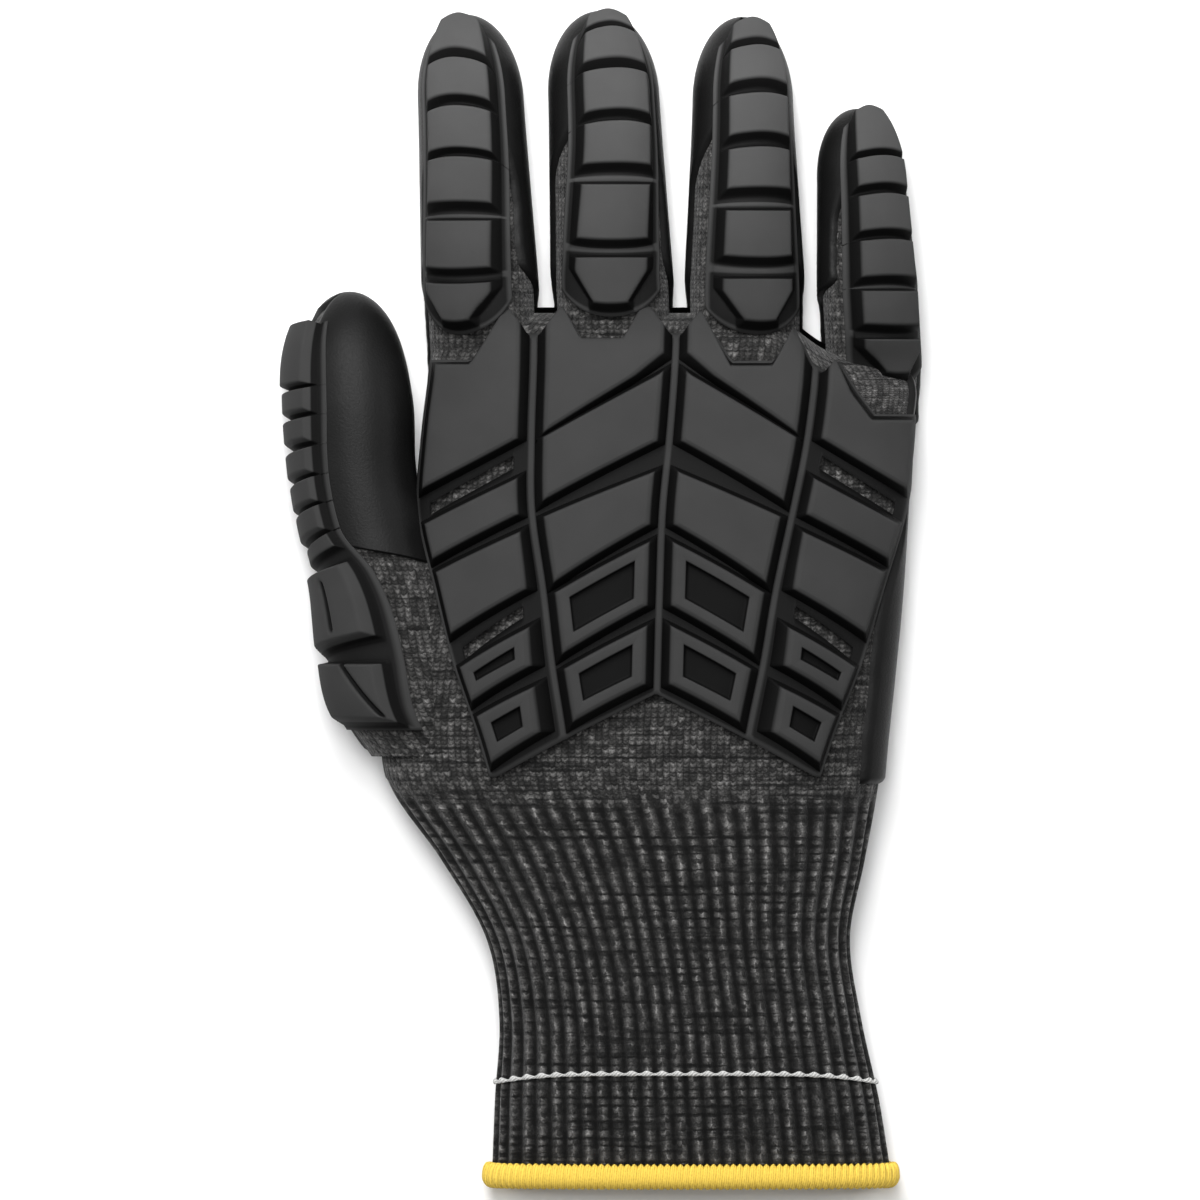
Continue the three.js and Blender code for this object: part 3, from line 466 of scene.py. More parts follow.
FINGER_TUBES = {finger["name"]: finger_tube(finger) for finger in FINGERS}
THUMB_TUBE = Tube(
    THUMB_TIP, THUMB_LENGTH, THUMB_ROUND,
    lambda y: THUMB_ROOT_X + THUMB_WIDTH * along(THUMB_ROWS, thumb_share(y), "x"),
    lambda y: THUMB_WIDTH * along(THUMB_ROWS, thumb_share(y), "half"),
    lambda y: THUMB_HEIGHT * along(THUMB_ROWS, thumb_share(y), "top"),
)

# Where the layout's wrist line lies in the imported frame, from the hem's own box
hem_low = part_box("cuff_hem")[0]
SHIFT = np.array([
    hem_low[0] * 1000 - (CUFF_ROWS[0]["left"] * WRIST_WIDTH - HEM_OUT),
    hem_low[1] * 1000 + CUFF_LENGTH + FIT_GAP + HEM_LENGTH,
    0.0,
])


# Meshes

WELD_METRES = 0.000002
OUTLINE_STEPS = 721


class Sheet:
    """Grids of points gathered into one mesh, with texture coordinates in millimetres or wales."""

    def __init__(self):
        self.points = []
        self.faces = []
        self.places = []
        self.count = 0

    def grid(self, points, places, inside, facing=1):
        """Adds a grid of quads that face away from the points inside, or towards them."""
        rows, columns = points.shape[:2]
        index = np.arange(rows * columns).reshape(rows, columns) + self.count
        a, b = index[:-1, :-1].ravel(), index[:-1, 1:].ravel()
        c, d = index[1:, 1:].ravel(), index[1:, :-1].ravel()
        inside = np.broadcast_to(inside, points.shape)
        normal = np.cross(points[1:, 1:] - points[:-1, :-1], points[1:, :-1] - points[:-1, 1:])
        away = ((points[:-1, :-1] + points[1:, 1:]) / 2 - inside[:-1, :-1]) * normal
        quads = np.stack([a, b, c, d] if away.sum() * facing > 0 else [a, d, c, b], -1)
        self.points.append(points.reshape(-1, 3))
        self.places.append(np.broadcast_to(places, (rows, columns, 2)).reshape(-1, 2))
        self.faces.append(quads)
        self.count += rows * columns

    def build(self, name, node, material):
        points = (np.concatenate(self.points) + SHIFT) / 1000
        places = np.concatenate(self.places)
        faces = np.concatenate(self.faces)
        mesh = bpy.data.meshes.new(name)
        mesh.from_pydata(points.tolist(), [], faces.tolist())
        layer = mesh.uv_layers.new(name="UVMap")
        corners = np.empty(len(mesh.loops), int)
        mesh.loops.foreach_get("vertex_index", corners)
        layer.data.foreach_set("uv", places[corners].ravel())
        mesh.polygons.foreach_set("use_smooth", [True] * len(mesh.polygons))
        mesh.materials.append(material)
        piece = bpy.data.objects.new(name, mesh)
        bpy.context.scene.collection.objects.link(piece)
        bpy.context.view_layer.update()
        weld = piece.modifiers.new("weld", "WELD")
        weld.merge_threshold = WELD_METRES
        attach(piece, "root")
        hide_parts(*node.split())
        return piece


def even_angles(section_points, angles, count):
    """For each row of a dense ring, the angles that space its outline evenly, from the bottom round."""
    steps = np.linalg.norm(np.diff(section_points, axis=1), axis=-1)
    length = np.concatenate([np.zeros((len(steps), 1)), np.cumsum(steps, 1)], 1)
    share = np.linspace(0, 1, count)
    return np.stack([np.interp(share * row[-1], row, angles) for row in length])


def refine(stops, steps):
    """Values from stop to stop, with a number of steps between each two."""
    parts = [np.linspace(a, b, n, endpoint=False) for a, b, n in zip(stops[:-1], stops[1:], steps)]
    return np.concatenate([*parts, [stops[-1]]])


def soften(values, times):
    """Rounds the corners of a stepped line by averaging neighbours."""
    for _ in range(times):
        padded = np.concatenate([[values[0]], values, [values[-1]]])
        values = (padded[:-2] + 2 * padded[1:-1] + padded[2:]) / 4
    return values


# The knitted liner

KNIT_NODES = "knit_liner index_sleeve middle_sleeve ring_sleeve little_sleeve thumb_sleeve"
COLUMNS_A_RIB = 8
TUBE_COLUMNS = 97
CUFF_PITCH = 0.9
TUBE_PITCH = 1.6
RIBS_END = (-4, 3)


def body_angles(at, count):
    dense = np.linspace(-math.pi, math.pi, OUTLINE_STEPS)
    return even_angles(Body(at).point(dense, 0.0), dense, count)


def rib_offset(phase, at):
    """How deep the liner lies below its crests, for a rib phase and a place along the cuff."""
    crest = 0.5 + 0.5 * np.cos(2 * math.pi * phase)
    return -RIB_DEPTH * (1 - smooth(at, *RIBS_END)) * (1 - crest**0.8)


def knit_piece(material):
    """One mesh: the ribbed outside, its shut end, the inside, the mouth, and the fingers."""
    sheet = Sheet()
    columns = RIB_COUNT * COLUMNS_A_RIB
    turn = np.linspace(0, math.pi / 2, 12)
    at = np.concatenate([
        np.arange(-CUFF_LENGTH, 5, CUFF_PITCH), np.linspace(5, ROUND_START, 40)[1:],
        ROUND_START + KNUCKLE_ROUND * np.sin(turn[1:]),
    ])[:, None]
    phase = np.linspace(0, RIB_COUNT, columns + 1)[None, :]
    angles = body_angles(at, columns + 1)
    outside = Body(at).point(angles, rib_offset(phase, at))
    places = np.stack(np.broadcast_arrays(phase * WALES_AROUND_BODY / RIB_COUNT, at / COURSE_PITCH), -1)
    sheet.grid(outside, places, outside.mean(1, keepdims=True))
    shut = outside[-1:].copy()
    shut[..., 2] = shut[..., 2].mean()
    sheet.grid(np.concatenate([outside[-1:], shut]), places[-2:], outside[-1:] - [0, 5, 0])
    inside = Body(at[::3]).point(angles[::3, ::4], -KNIT_WALL)
    sheet.grid(inside, places[::3, ::4], inside.mean(1, keepdims=True), facing=-1)
    mouth = Body(at[:1]).point(angles[:1], -KNIT_WALL)
    sheet.grid(np.concatenate([outside[:1], mouth]), places[:2], outside[:1] + [0, 5, 0])
    for tube, root, wales in tube_list():
        y = tube_rows(tube, root, TUBE_PITCH)[:, None]
        around = tube_angles(tube, TUBE_COLUMNS)[None, :]
        skin = tube.point(y, around, 0.0)
        wale = np.linspace(0, wales, TUBE_COLUMNS)[None, :]
        places = np.stack(np.broadcast_arrays(wale, y / COURSE_PITCH), -1)
        sheet.grid(skin, places, skin.mean(1, keepdims=True))
    return sheet.build("knit_looks", KNIT_NODES, material)


def tube_list():
    rows = [(FINGER_TUBES[f["name"]], PALM_LENGTH - FINGER_ROOT, WALES_AROUND_FINGER) for f in FINGERS]
    return rows + [(THUMB_TUBE, THUMB_ROOT_Y, WALES_AROUND_FINGER + 6)]


def tube_rows(tube, root, pitch):
    start = tube.tip - tube.round
    straight = np.linspace(root, start, int((start - root) / pitch) + 2)
    return np.concatenate([straight, start + tube.round * np.sin(np.linspace(0, math.pi / 2, 18)[1:])])


def tube_angles(tube, count):
    dense = np.linspace(-math.pi, math.pi, OUTLINE_STEPS)
    section = tube.point(np.array([[tube.tip - tube.round]]), dense, 0.0)
    return even_angles(section, dense, count)[0]


# The dipped coating, with its edges in degrees from the top

COAT_RIM = 1.3
THIN_RIM = 0.12
PALM_LEFT = 262
PALM_RIGHT = (64, 80)
TIP_TURN = 10
WEB_TURN = 100
THUMB_LEFT = (312, 260)
THUMB_RIGHT = (-50, 72)
EDGE_WAVE = 2.0

# The shares of a finger over which its edges change, and the radii that turn degrees into millimetres
TIP_OPENS = (0.25, 0.6)
WEB_CLOSES = (0.82, 0.97)
THUMB_OPENS = (0.015, 0.05)
THUMB_ENDS = (0.52, 0.6)
BODY_RADIUS = 30
FINGER_RADIUS = 11
THUMB_RADIUS = 12


def coat_patch(sheet, point, place, right, left, radius):
    """A patch from the right edge under the glove to the left edge, thin along its rims."""
    share = np.linspace(0, 1, 73)[None, :]
    place, right, left = place[:, None], right[:, None], left[:, None]
    angle = np.radians(mix(right, left, share))
    across = np.minimum(share, 1 - share) * np.radians(left - right) * radius
    rim = np.minimum(across, place - place[0])
    offset = mix(THIN_RIM, LIFT, np.sqrt(np.clip(rim / COAT_RIM, 0, 1)))
    points = point(place, angle, offset)
    places = np.stack(np.broadcast_arrays(angle * radius, place), -1)
    sheet.grid(points, places, points.mean(1, keepdims=True))


def coating_piece(material):
    sheet = Sheet()
    turn = np.linspace(0, math.pi / 2, 10)
    at = np.concatenate([
        np.linspace(1, 4, 8), np.linspace(4, ROUND_START, 50)[1:],
        ROUND_START + KNUCKLE_ROUND * np.sin(turn[1:]),
    ])
    right = mix(*PALM_RIGHT, smooth(at, 35, 62)) + 0.7 * ripple(at * 0.35, 1.0)
    coat_patch(sheet, lambda y, a, o: Body(y).point(a, o), at, right, PALM_LEFT + 0 * at, BODY_RADIUS)
    for i, finger in enumerate(FINGERS):
        tube = FINGER_TUBES[finger["name"]]
        drop = float(web_drop(tube.middle(PALM_LENGTH), PALM_LENGTH))
        root = PALM_LENGTH - FINGER_ROOT + FIT_GAP - drop
        y = tube_rows(tube, root, 1.0)
        share = (tube.tip - y) / tube.length
        fade = smooth(share, *TIP_OPENS)
        web = smooth(share, *WEB_CLOSES)
        left = mix(mix(-TIP_TURN, finger["coat_left"], fade), -WEB_TURN, web)
        left = left + EDGE_WAVE * ripple(y * 0.5, i) * fade
        right = mix(mix(TIP_TURN, finger["coat_right"], fade), WEB_TURN, web)
        right = right + EDGE_WAVE * ripple(y * 0.5, i + 7) * fade
        coat_patch(sheet, tube.point, y, right, 360 + left, FINGER_RADIUS)
    y = tube_rows(THUMB_TUBE, THUMB_ROOT_Y + COAT_WALL, 0.7)
    share = thumb_share(y)
    low = smooth(share, *THUMB_ENDS)
    right = mix(*THUMB_RIGHT, low) + 0.6 * EDGE_WAVE * ripple(y * 0.5, 3) * low
    left = mix(*THUMB_LEFT, smooth(share, *THUMB_OPENS))
    coat_patch(sheet, THUMB_TUBE.point, y, right, left, THUMB_RADIUS)
    return sheet.build("coating_looks", "palm_coating", material)


# Moulded guards along a finger or the thumb, with distances in millimetres

FINE_ROWS = 0.9
GROOVE_ROWS = 0.5
LEAST_GROOVE = 0.15
FLANGE_END = 0.8


def relief_rows(blocks, length):
    """Places, bows, levels and tapers along a guard, steep to the tip and sloped to the wrist."""
    at, bow, level, taper = [], [], [], []
    for i, item in enumerate(blocks):
        rise = item.get("rise", 1.0)
        tip_wall = TIP_SIDE_WALL / length
        wrist_wall = WRIST_SIDE_WALL * rise / length
        if i + 1 < len(blocks):
            groove = blocks[i + 1]["from"] - item["to"]
            wrist_wall = min(wrist_wall, groove - tip_wall - LEAST_GROOVE / length)
        near = min(FINE_ROWS / length, 0.3 * (item["to"] - item["from"]))
        stops = [item["from"] - tip_wall, item["from"], item["from"] + near]
        stops += [item["to"] - near, item["to"], item["to"] + wrist_wall]
        steps = [4, 5, max(3, int((item["to"] - item["from"]) * length / FINE_ROWS)), 5, 7]
        rows = refine(stops, steps)
        level.extend(np.interp(rows, [stops[0], stops[1], stops[4], stops[5]], [0, rise, rise, 0]))
        bow.extend(np.interp(rows, [stops[1], stops[4]], [item["from_bow"], item["to_bow"]]))
        knee = mix(item["from"], item["to"], TAPER_FROM)
        taper.extend(np.interp(rows, [knee, item["to"]], [1, item.get("taper", 1)]))
        at.extend(rows)
        if i + 1 < len(blocks):
            ahead = blocks[i + 1]["from"] - tip_wall
            steps = max(1, int((ahead - rows[-1]) * length / GROOVE_ROWS))
            gap = np.linspace(rows[-1], ahead, steps + 1)[1:-1]
            at.extend(gap)
            level.extend(0 * gap)
            taper.extend(0 * gap + 1)
            bows = [item["to_bow"], blocks[i + 1]["from_bow"]]
            bow.extend(np.interp(gap, [rows[-1], ahead], bows))
    at, bow, level = np.array(at), np.array(bow), soften(np.array(level), 2)
    ends = FLANGE_END / length
    at = np.concatenate([[at[0] - ends] * 2, at, [at[-1] + ends] * 2])
    bow = np.concatenate([[bow[0]] * 2, bow, [bow[-1]] * 2])
    level = np.concatenate([[0, 0], level, [0, 0]])
    taper = np.concatenate([[1, 1], taper, [taper[-1]] * 2])
    return at[:, None], bow[:, None], level[:, None], taper[:, None]


def rim_turns():
    """Shares across a guard from -1 to 1; its two sides come twice, the second time as a rim."""
    return np.concatenate([[-1], np.linspace(-1, 1, 89), [1]])[None, :]


def guard_grid(sheet, height, raised, ridge_highlight, point):
    """A guard's skin with its rim turned down to the glove.

    Raised is 1 on the faces of its blocks and lower on their walls, which get painted shade; the second
    mask is 1 on the lines along the web and its edges, which get a painted highlight.
    """
    rim = np.zeros(height.shape, bool)
    rim[0] = rim[-1] = True
    rim[:, 0] = rim[:, -1] = True
    points = point(np.where(rim, RIM_OFFSET, FIT_GAP + height))
    places = np.stack([raised, ridge_highlight], -1)
    inside = points.mean(1, keepdims=True)
    inside[..., 2] = GUARD_MIDDLE
    sheet.grid(points, places, inside)


def finger_guard_piece(finger, material):
    tube = FINGER_TUBES[finger["name"]]
    length = finger["length"]
    at, bow, level, taper = relief_rows(FINGER_BLOCKS[finger["name"]], length)
    turn = GUARD_SPREAD * rim_turns()
    side = np.clip((BLOCK_SPREAD - np.abs(turn) / taper) / (BLOCK_SPREAD - FACE_SPREAD), 0, 1)
    raised = np.minimum(level, soften(side.T, 2).T)
    height = GUARD_WEB + GUARD_BLOCK * raised
    # Masks where a highlight is painted: along the guard's edges and on its strips
    beside = np.radians(GUARD_SPREAD - np.abs(turn)) * finger["width"] / 2
    edge = np.minimum(beside, (at[-1] - at) * length)
    ridge_highlight = np.clip(1 - edge / EDGE_RIDGE, 0, 1)
    for strip in finger["strips"]:
        near = np.clip(1 - (np.abs(at - strip) * length / STRIP_HALF) ** 2, 0, 1)
        ridge_highlight = np.maximum(ridge_highlight, near)
        reach = smooth(BLOCK_SPREAD + 4 - np.abs(turn), 0, 6)
        height = np.maximum(height, GUARD_WEB + STRIP_RISE * near * reach)
    y = tube.tip - length * (at + bow * (turn / GUARD_SPREAD) ** 2)
    turned = mix(finger["turn"], finger["root_turn"], smooth(at, 0.3, 1))
    seen = FIT_GAP + GUARD_WEB + GUARD_BLOCK
    sheet = Sheet()

    def point(offset):
        return tube.point(y, np.radians(turned + turn), offset, seen)

    guard_grid(sheet, height, raised, ridge_highlight, point)
    name = finger["name"]
    return sheet.build(f"{name}_guard_looks", f"{name}_guard", material)


def crease(turn, middle, at, opening, closing):
    """1 on a narrow groove along the thumb's guard, which opens and closes over two ranges."""
    across = np.clip(1 - np.abs(turn - middle) * THUMB_GUARD_HALF / CREASE_HALF, 0, 1)
    return across * smooth(at, *opening) * (1 - smooth(at, *closing))


def thumb_guard_piece(material):
    at, bow, level, _ = relief_rows(THUMB_BLOCKS, THUMB_LENGTH)
    turn = rim_turns()
    side = np.clip((THUMB_SIDE - np.abs(turn)) / (THUMB_SIDE - THUMB_FACE), 0, 1)
    side = soften(side[0], 2)[None, :]
    shares = at - bow * turn
    raised = np.minimum(level, side)
    height = GUARD_WEB + THUMB_BLOCK * raised
    straight = crease(turn, 0.03, at, (0.615, 0.63), (0.72, 0.735))
    slanted = crease(turn, 0.08 + (at - 0.8) * 4.2, at, (0.79, 0.8), (0.905, 0.92))
    groove = np.maximum(straight, slanted)
    height = height - CREASE_DEPTH * groove * raised
    # The mask for painted shade: only the lower half of each wall is darkened, and the creases get
    # painted shade
    raised = np.clip(2 * raised, 0, 1) * (1 - 0.5 * groove)
    left = along(THUMB_EDGES, shares, "left")
    right = along(THUMB_EDGES, shares, "right")
    angle = np.radians(mix(left, right, (turn + 1) / 2))
    # A mask where a highlight is painted along the guard's edges
    reach = np.radians(right - left) * THUMB_WIDTH / 4
    edge = np.minimum((1 - np.abs(turn)) * reach, (at[-1] - at) * THUMB_LENGTH)
    ridge_highlight = np.clip(1 - edge / EDGE_RIDGE, 0, 1)
    y = THUMB_TIP - THUMB_LENGTH * shares
    seen = FIT_GAP + GUARD_WEB + THUMB_BLOCK
    sheet = Sheet()
    guard_grid(sheet, height, raised, ridge_highlight, lambda offset: THUMB_TUBE.point(y, angle, offset, seen))
    return sheet.build("thumb_guard_looks", "thumb_guard", material)


# The back guard

WEB_OFFSET = FIT_GAP + PLATE_WEB
PAD_OFFSET = WEB_OFFSET + PLATE_BLOCK
PAD_COLUMNS = 31
PAD_ROWS = 17
TO_SLOT_COLUMNS = 10
SLOT_COLUMNS = 46
RIM_COLUMNS = 7
SLOT_END = TO_SLOT_COLUMNS + SLOT_COLUMNS
MIDDLE_COLUMNS = 161
MIDDLE_ROWS = 70
BAND_ROWS = 18
SLOT_ROWS = 4
SKIRT_FOOT = 0.15
FIRST_Y = 50.0
TRIES = 8


def plate_share(y):
    return (PLATE_TOP - y) / PLATE_LENGTH


def plate_y(share):
    return PLATE_TOP - PLATE_LENGTH * share


def plate_line(side, column, share):
    share = np.clip(share, 0, 1)
    middle = PLATE_HALF * along(PLATE_LINES, share, "middle")
    reach = 0 if column == "middle" else PLATE_HALF * along(PLATE_LINES, share, column)
    return middle + side * reach


def plate_top_edge(x):
    """The upper edge runs around the lower end of each finger guard."""
    peak = PALM_LENGTH - PLATE_SET_BACK - web_drop(x, PALM_LENGTH)
    edge = peak
    for finger in FINGERS:
        tube = FINGER_TUBES[finger["name"]]
        end = tube.tip - finger["length"] * finger["end"]
        beside = np.abs(x - tube.middle(end) - finger["width"] * finger["notch"]) - NOTCH_FLAT
        edge = np.minimum(edge, end - NOTCH_CLEAR + NOTCH_SLOPE * np.maximum(0, beside))
    for side, column in ((-1, "inner"), (1, "middle"), (1, "inner")):
        beside = np.abs(x - plate_line(side, column, 0)) - PLATE_GROOVE
        edge = np.minimum(edge, peak - PLATE_DIP + np.maximum(0, beside))
    return edge


def plate_low_edge(x):
    share = np.abs(x - plate_line(1, "middle", 0.9)) / PLATE_HALF
    return plate_y(0.815 + along(PLATE_FOOT, share, "drop"))


def outer_inset(share):
    """How far an outer pad lies from the inner line: further where the guard narrows."""
    return OUTER_INSET + OUTER_NARROWING * smooth(share, 0.4, 0.9)


def pad_place(side, pad, inner, across, down, grow):
    """Where a share across and down a pad lies; grow holds how far its four sides are pushed out."""
    lines = ("middle", "inner") if inner else ("inner", "outer")

    def level(share):
        inset = PAD_INSET if inner else outer_inset(share)
        near = plate_line(side, lines[0], share) + side * inset
        far = plate_line(side, lines[1], share) - side * (PAD_INSET if inner else 0)
        near_grow = grow["side"] * np.where(grow["side"] > 0, inset / PAD_INSET, 1)
        far_grow = grow["side"] if inner else grow["outer"]
        pushed = mix(near - side * near_grow, far + side * far_grow, across)
        return pushed, (pushed - near) / (far - near)

    x, along_edge = level(mix(pad["top_near"], pad["top_far"], across))
    upper = plate_y(mix(pad["top_near"], pad["top_far"], along_edge))
    upper = np.minimum(upper, plate_top_edge(x) - PLATE_BORDER)
    x, along_edge = level(mix(pad["base_near"], pad["base_far"], across))
    lower = plate_y(mix(pad["base_near"], pad["base_far"], along_edge))
    y = mix(upper + grow["tip"], lower - grow["wrist"], down)
    return level(np.clip(plate_share(y), 0, 1))[0], y


def even_grow(amount):
    return {"side": amount, "outer": amount, "tip": amount, "wrist": amount}


PAD_WALLS = {"side": SIDE_WALL, "outer": OUTER_WALL, "tip": TIP_WALL, "wrist": WRIST_WALL}


def pad_levels(framed):
    """Rings from a pad's foot up over its edge, and down into its recess where it has one."""
    rings = []
    for share in (1.0, 0.85, 0.7, 0.5, 0.3, 0.15):
        wall = {key: value * share for key, value in PAD_WALLS.items()}
        rings.append((wall, WEB_OFFSET - PAD_ROOT + (1 - share**1.6) * (PLATE_BLOCK + PAD_ROOT)))
    for grow, drop in ((0.02, 0.12), (-0.12, 0.02), (-0.4, 0.0)):
        rings.append((even_grow(grow), PAD_OFFSET - drop))
    if framed:
        floor_drops = ((0.25, RECESS_DEPTH - 0.25), (0.5, RECESS_DEPTH))
        for inward, drop in ((-0.3, 0.0), (-0.06, 0.08), (0.0, 0.3), *floor_drops):
            rings.append((even_grow(-FRAME_WIDTH - inward), PAD_OFFSET - drop))
    return rings


def pad_sheet(sheet, side, pad, inner):
    across = np.linspace(0, 1, PAD_COLUMNS)
    down = np.linspace(0, 1, PAD_ROWS)
    ring_across = np.concatenate([across, 0 * down[1:] + 1, across[::-1][1:], 0 * down[1:]])
    ring_down = np.concatenate([0 * across, down[1:], 0 * across[1:] + 1, down[::-1][1:]])
    rings, raised = [], []
    levels = pad_levels(pad.get("framed"))
    for grow, offset in levels:
        x, y = pad_place(side, pad, inner, ring_across, ring_down, grow)
        rings.append(back_point(x, y, offset))
        # How high each ring stands over the web; the rubber paints shade from it on the walls and the
        # recess floors
        raised.append([(offset - WEB_OFFSET) / PLATE_BLOCK, 0])
    walls = np.array(rings)
    below = walls.mean((0, 1)) - [0, 0, 12]
    sheet.grid(walls, np.array(raised)[:, None], below)
    grow, offset = levels[-1]
    x, y = pad_place(side, pad, inner, across[None, :], down[:, None], grow)
    sheet.grid(back_point(x, y, offset), raised[-1], below)


def web_columns(side):
    """Lines down an outer column of the web: its inner line, both ends of its slots, and its rim."""
    return [
        lambda share: plate_line(side, "inner", share),
        lambda share: plate_line(side, "inner", share) + side * outer_inset(share),
        lambda share: plate_line(side, "outer", share) - side * SLOT_BORDER,
        lambda share: plate_line(side, "outer", share) + side * PLATE_BORDER,
    ]


def web_band(lines, parts, low_row, high_row, steps):
    """Points of the web between two rows; a row gives y for an x and a share across.

    Each end is found by trying again from the last y, because the lines lean.
    """
    reach = [-0.15, 0.0, 1.0, 1.06] if len(lines) == 4 else [0.0, 1.0]
    columns = []
    for k, count in enumerate(parts):
        columns += [(k, s) for s in np.linspace(0, 1, count, endpoint=k + 1 == len(parts))]

    def line_x(share, k, s):
        return mix(lines[k](share), lines[k + 1](share), s)

    result = np.zeros((steps + 1, len(columns), 2))
    for c, (k, s) in enumerate(columns):
        across = mix(reach[k], reach[k + 1], s)
        ends = []
        for row in (low_row, high_row):
            y = FIRST_Y
            for _ in range(TRIES):
                share = float(np.clip(plate_share(y), 0, 1))
                y = float(row(line_x(share, k, s), across))
            ends.append(y)
        y = np.linspace(ends[0], ends[1], steps + 1)
        result[:, c, 0] = line_x(np.clip(plate_share(y), 0, 1), k, s)
        result[:, c, 1] = y
    return result


def painted_ridge_highlight(x, y):
    """1 on the thin ridges between the columns of pads and along the web's edges, where a highlight is
    painted, 0 away from them.
    """
    share = plate_share(y)
    lines = ((-1, "inner"), (1, "middle"), (1, "inner"))
    near = [np.abs(x - plate_line(side, column, share)) for side, column in lines]
    near += [np.abs(plate_top_edge(x) - y), np.abs(y - plate_low_edge(x))]
    near += [np.abs(x - plate_line(side, "outer", share) - side * PLATE_BORDER) for side in (-1, 1)]
    return np.clip(1 - np.min(near, axis=0) / RIDGE_HALF, 0, 1)


def web_sheet(sheet):
    def upper(x, _):
        return plate_top_edge(x)

    def lower(x, _):
        return plate_low_edge(x)

    def shares(near, far):
        return lambda _, across: plate_y(mix(near, far, across))

    def add(band):
        points = back_point(band[..., 0], band[..., 1], WEB_OFFSET)
        # Where a highlight is painted on the web's lines
        light = painted_ridge_highlight(band[..., 0], band[..., 1])
        sheet.grid(points, np.stack([0 * light, light], -1), points.mean((0, 1)) - [0, 0, 30])

    def skirt(line):
        rim = np.stack([line, line])
        points = back_point(rim[..., 0], rim[..., 1], np.array([[WEB_OFFSET], [SKIRT_FOOT]]))
        sheet.grid(points, [0, 0], np.array([0, 50, 8]))

    inner_lines = [lambda s: plate_line(-1, "inner", s), lambda s: plate_line(1, "inner", s)]
    middle = web_band(inner_lines, [MIDDLE_COLUMNS], upper, lower, MIDDLE_ROWS)
    add(middle)
    skirt(middle[0])
    skirt(middle[-1])
    for side in (-1, 1):
        lines = web_columns(side)
        parts = [TO_SLOT_COLUMNS, SLOT_COLUMNS, RIM_COLUMNS]
        rows = [upper]
        for slot in PLATE_SLOTS:
            rows.append(shares(slot["top_near"], slot["top_far"]))
            rows.append(shares(slot["base_near"], slot["base_far"]))
        rows.append(lower)
        edge = []
        for k in range(len(rows) - 1):
            slotted = k % 2 == 1
            steps = SLOT_ROWS if slotted else BAND_ROWS
            band = web_band(lines, parts, rows[k], rows[k + 1], steps)
            if k == 0:
                skirt(band[0])
            if k == len(rows) - 2:
                skirt(band[-1])
            edge.append(band[:, -1])
            if not slotted:
                add(band)
                continue
            add(band[:, :TO_SLOT_COLUMNS + 1])
            add(band[:, SLOT_END:])
            slot = band[:, TO_SLOT_COLUMNS:SLOT_END + 1]
            skirt(np.concatenate([slot[0], slot[1:, -1], slot[-1, :-1][::-1], slot[:-1, 0][::-1]]))
        skirt(np.concatenate(edge))


def back_guard_piece(material):
    sheet = Sheet()
    web_sheet(sheet)
    for side in (-1, 1):
        for pad in INNER_PADS:
            pad_sheet(sheet, side, pad, True)
        for pad in OUTER_PADS:
            pad_sheet(sheet, side, pad, False)
    return sheet.build("back_guard_looks", "back_guard", material)


# The hem and the marker thread

HEM_STITCHES = 132
COLUMNS_A_STITCH = 6
STITCH_LEAN = 0.3


def hem_piece(material):
    """A roll around the cuff's end, with slanted threads whose loops reach up onto the cuff."""
    columns = HEM_STITCHES * COLUMNS_A_STITCH
    at = np.array([[-CUFF_LENGTH]])
    angles = body_angles(at, columns + 1)
    body = Body(at)
    turn = np.linspace(0, 2 * math.pi, 33)[:, None]
    stitch = np.linspace(0, HEM_STITCHES, columns + 1)[None, :]
    phase = stitch + STITCH_LEAN * np.sin(turn)
    thread = np.abs(np.sin(math.pi * phase)) ** 0.7
    out = np.clip(np.sin(turn), 0, 1)
    up = np.clip(np.cos(turn), 0, 1)
    middle = (HEM_OUT - HEM_IN) / 2
    thick = (HEM_OUT + HEM_IN) / 2 * (0.82 + 0.18 * thread)
    uneven = 0.12 * ripple(stitch * 1.9, 2.0)
    hem_y = -CUFF_LENGTH - FIT_GAP - HEM_LENGTH / 2
    y = hem_y + HEM_LENGTH / 2 * np.cos(turn) * (0.84 + 0.16 * thread)
    y = y + (1.1 * thread + uneven) * out * up * 1.6
    points = body.point(angles, middle + thick * np.sin(turn))
    points[..., 1] = y
    sheet = Sheet()
    places = np.stack(np.broadcast_arrays(stitch, turn / math.pi), -1)
    centre = body.point(angles, middle)
    centre[..., 1] = hem_y
    sheet.grid(points, places, centre)
    return sheet.build("hem_looks", "cuff_hem", material)


def marker_piece(material):
    """A thread that follows the ribs and hangs a little lower at the sides."""
    columns = RIB_COUNT * COLUMNS_A_RIB
    phase = np.linspace(0, RIB_COUNT, columns + 1)[None, :]
    turn = np.linspace(0, 2 * math.pi, 17)[:, None]
    base = np.array([[-MARKER_AT]])
    angles = body_angles(base, columns + 1)
    sag = 0.9 - 2.1 * np.abs(np.sin(angles)) ** 4
    loops = np.cos(2 * math.pi * phase)
    wave = 0.12 * loops
    thread = 0.72 + 0.3 * loops
    at = -MARKER_AT + sag + wave + MARKER_WIDTH / 2 * np.cos(turn) * thread
    middle = rib_offset(phase, base) * MARKER_FOLLOW + MARKER_OUT
    points = Body(at).point(angles, middle + MARKER_THICK * np.sin(turn) * thread)
    centre = Body(at * 0 - MARKER_AT + sag + wave).point(angles, middle)
    sheet = Sheet()
    sheet.grid(points, np.stack(np.broadcast_arrays(phase * 4, turn), -1), centre)
    return sheet.build("marker_looks", "marker_thread", material)


# Materials

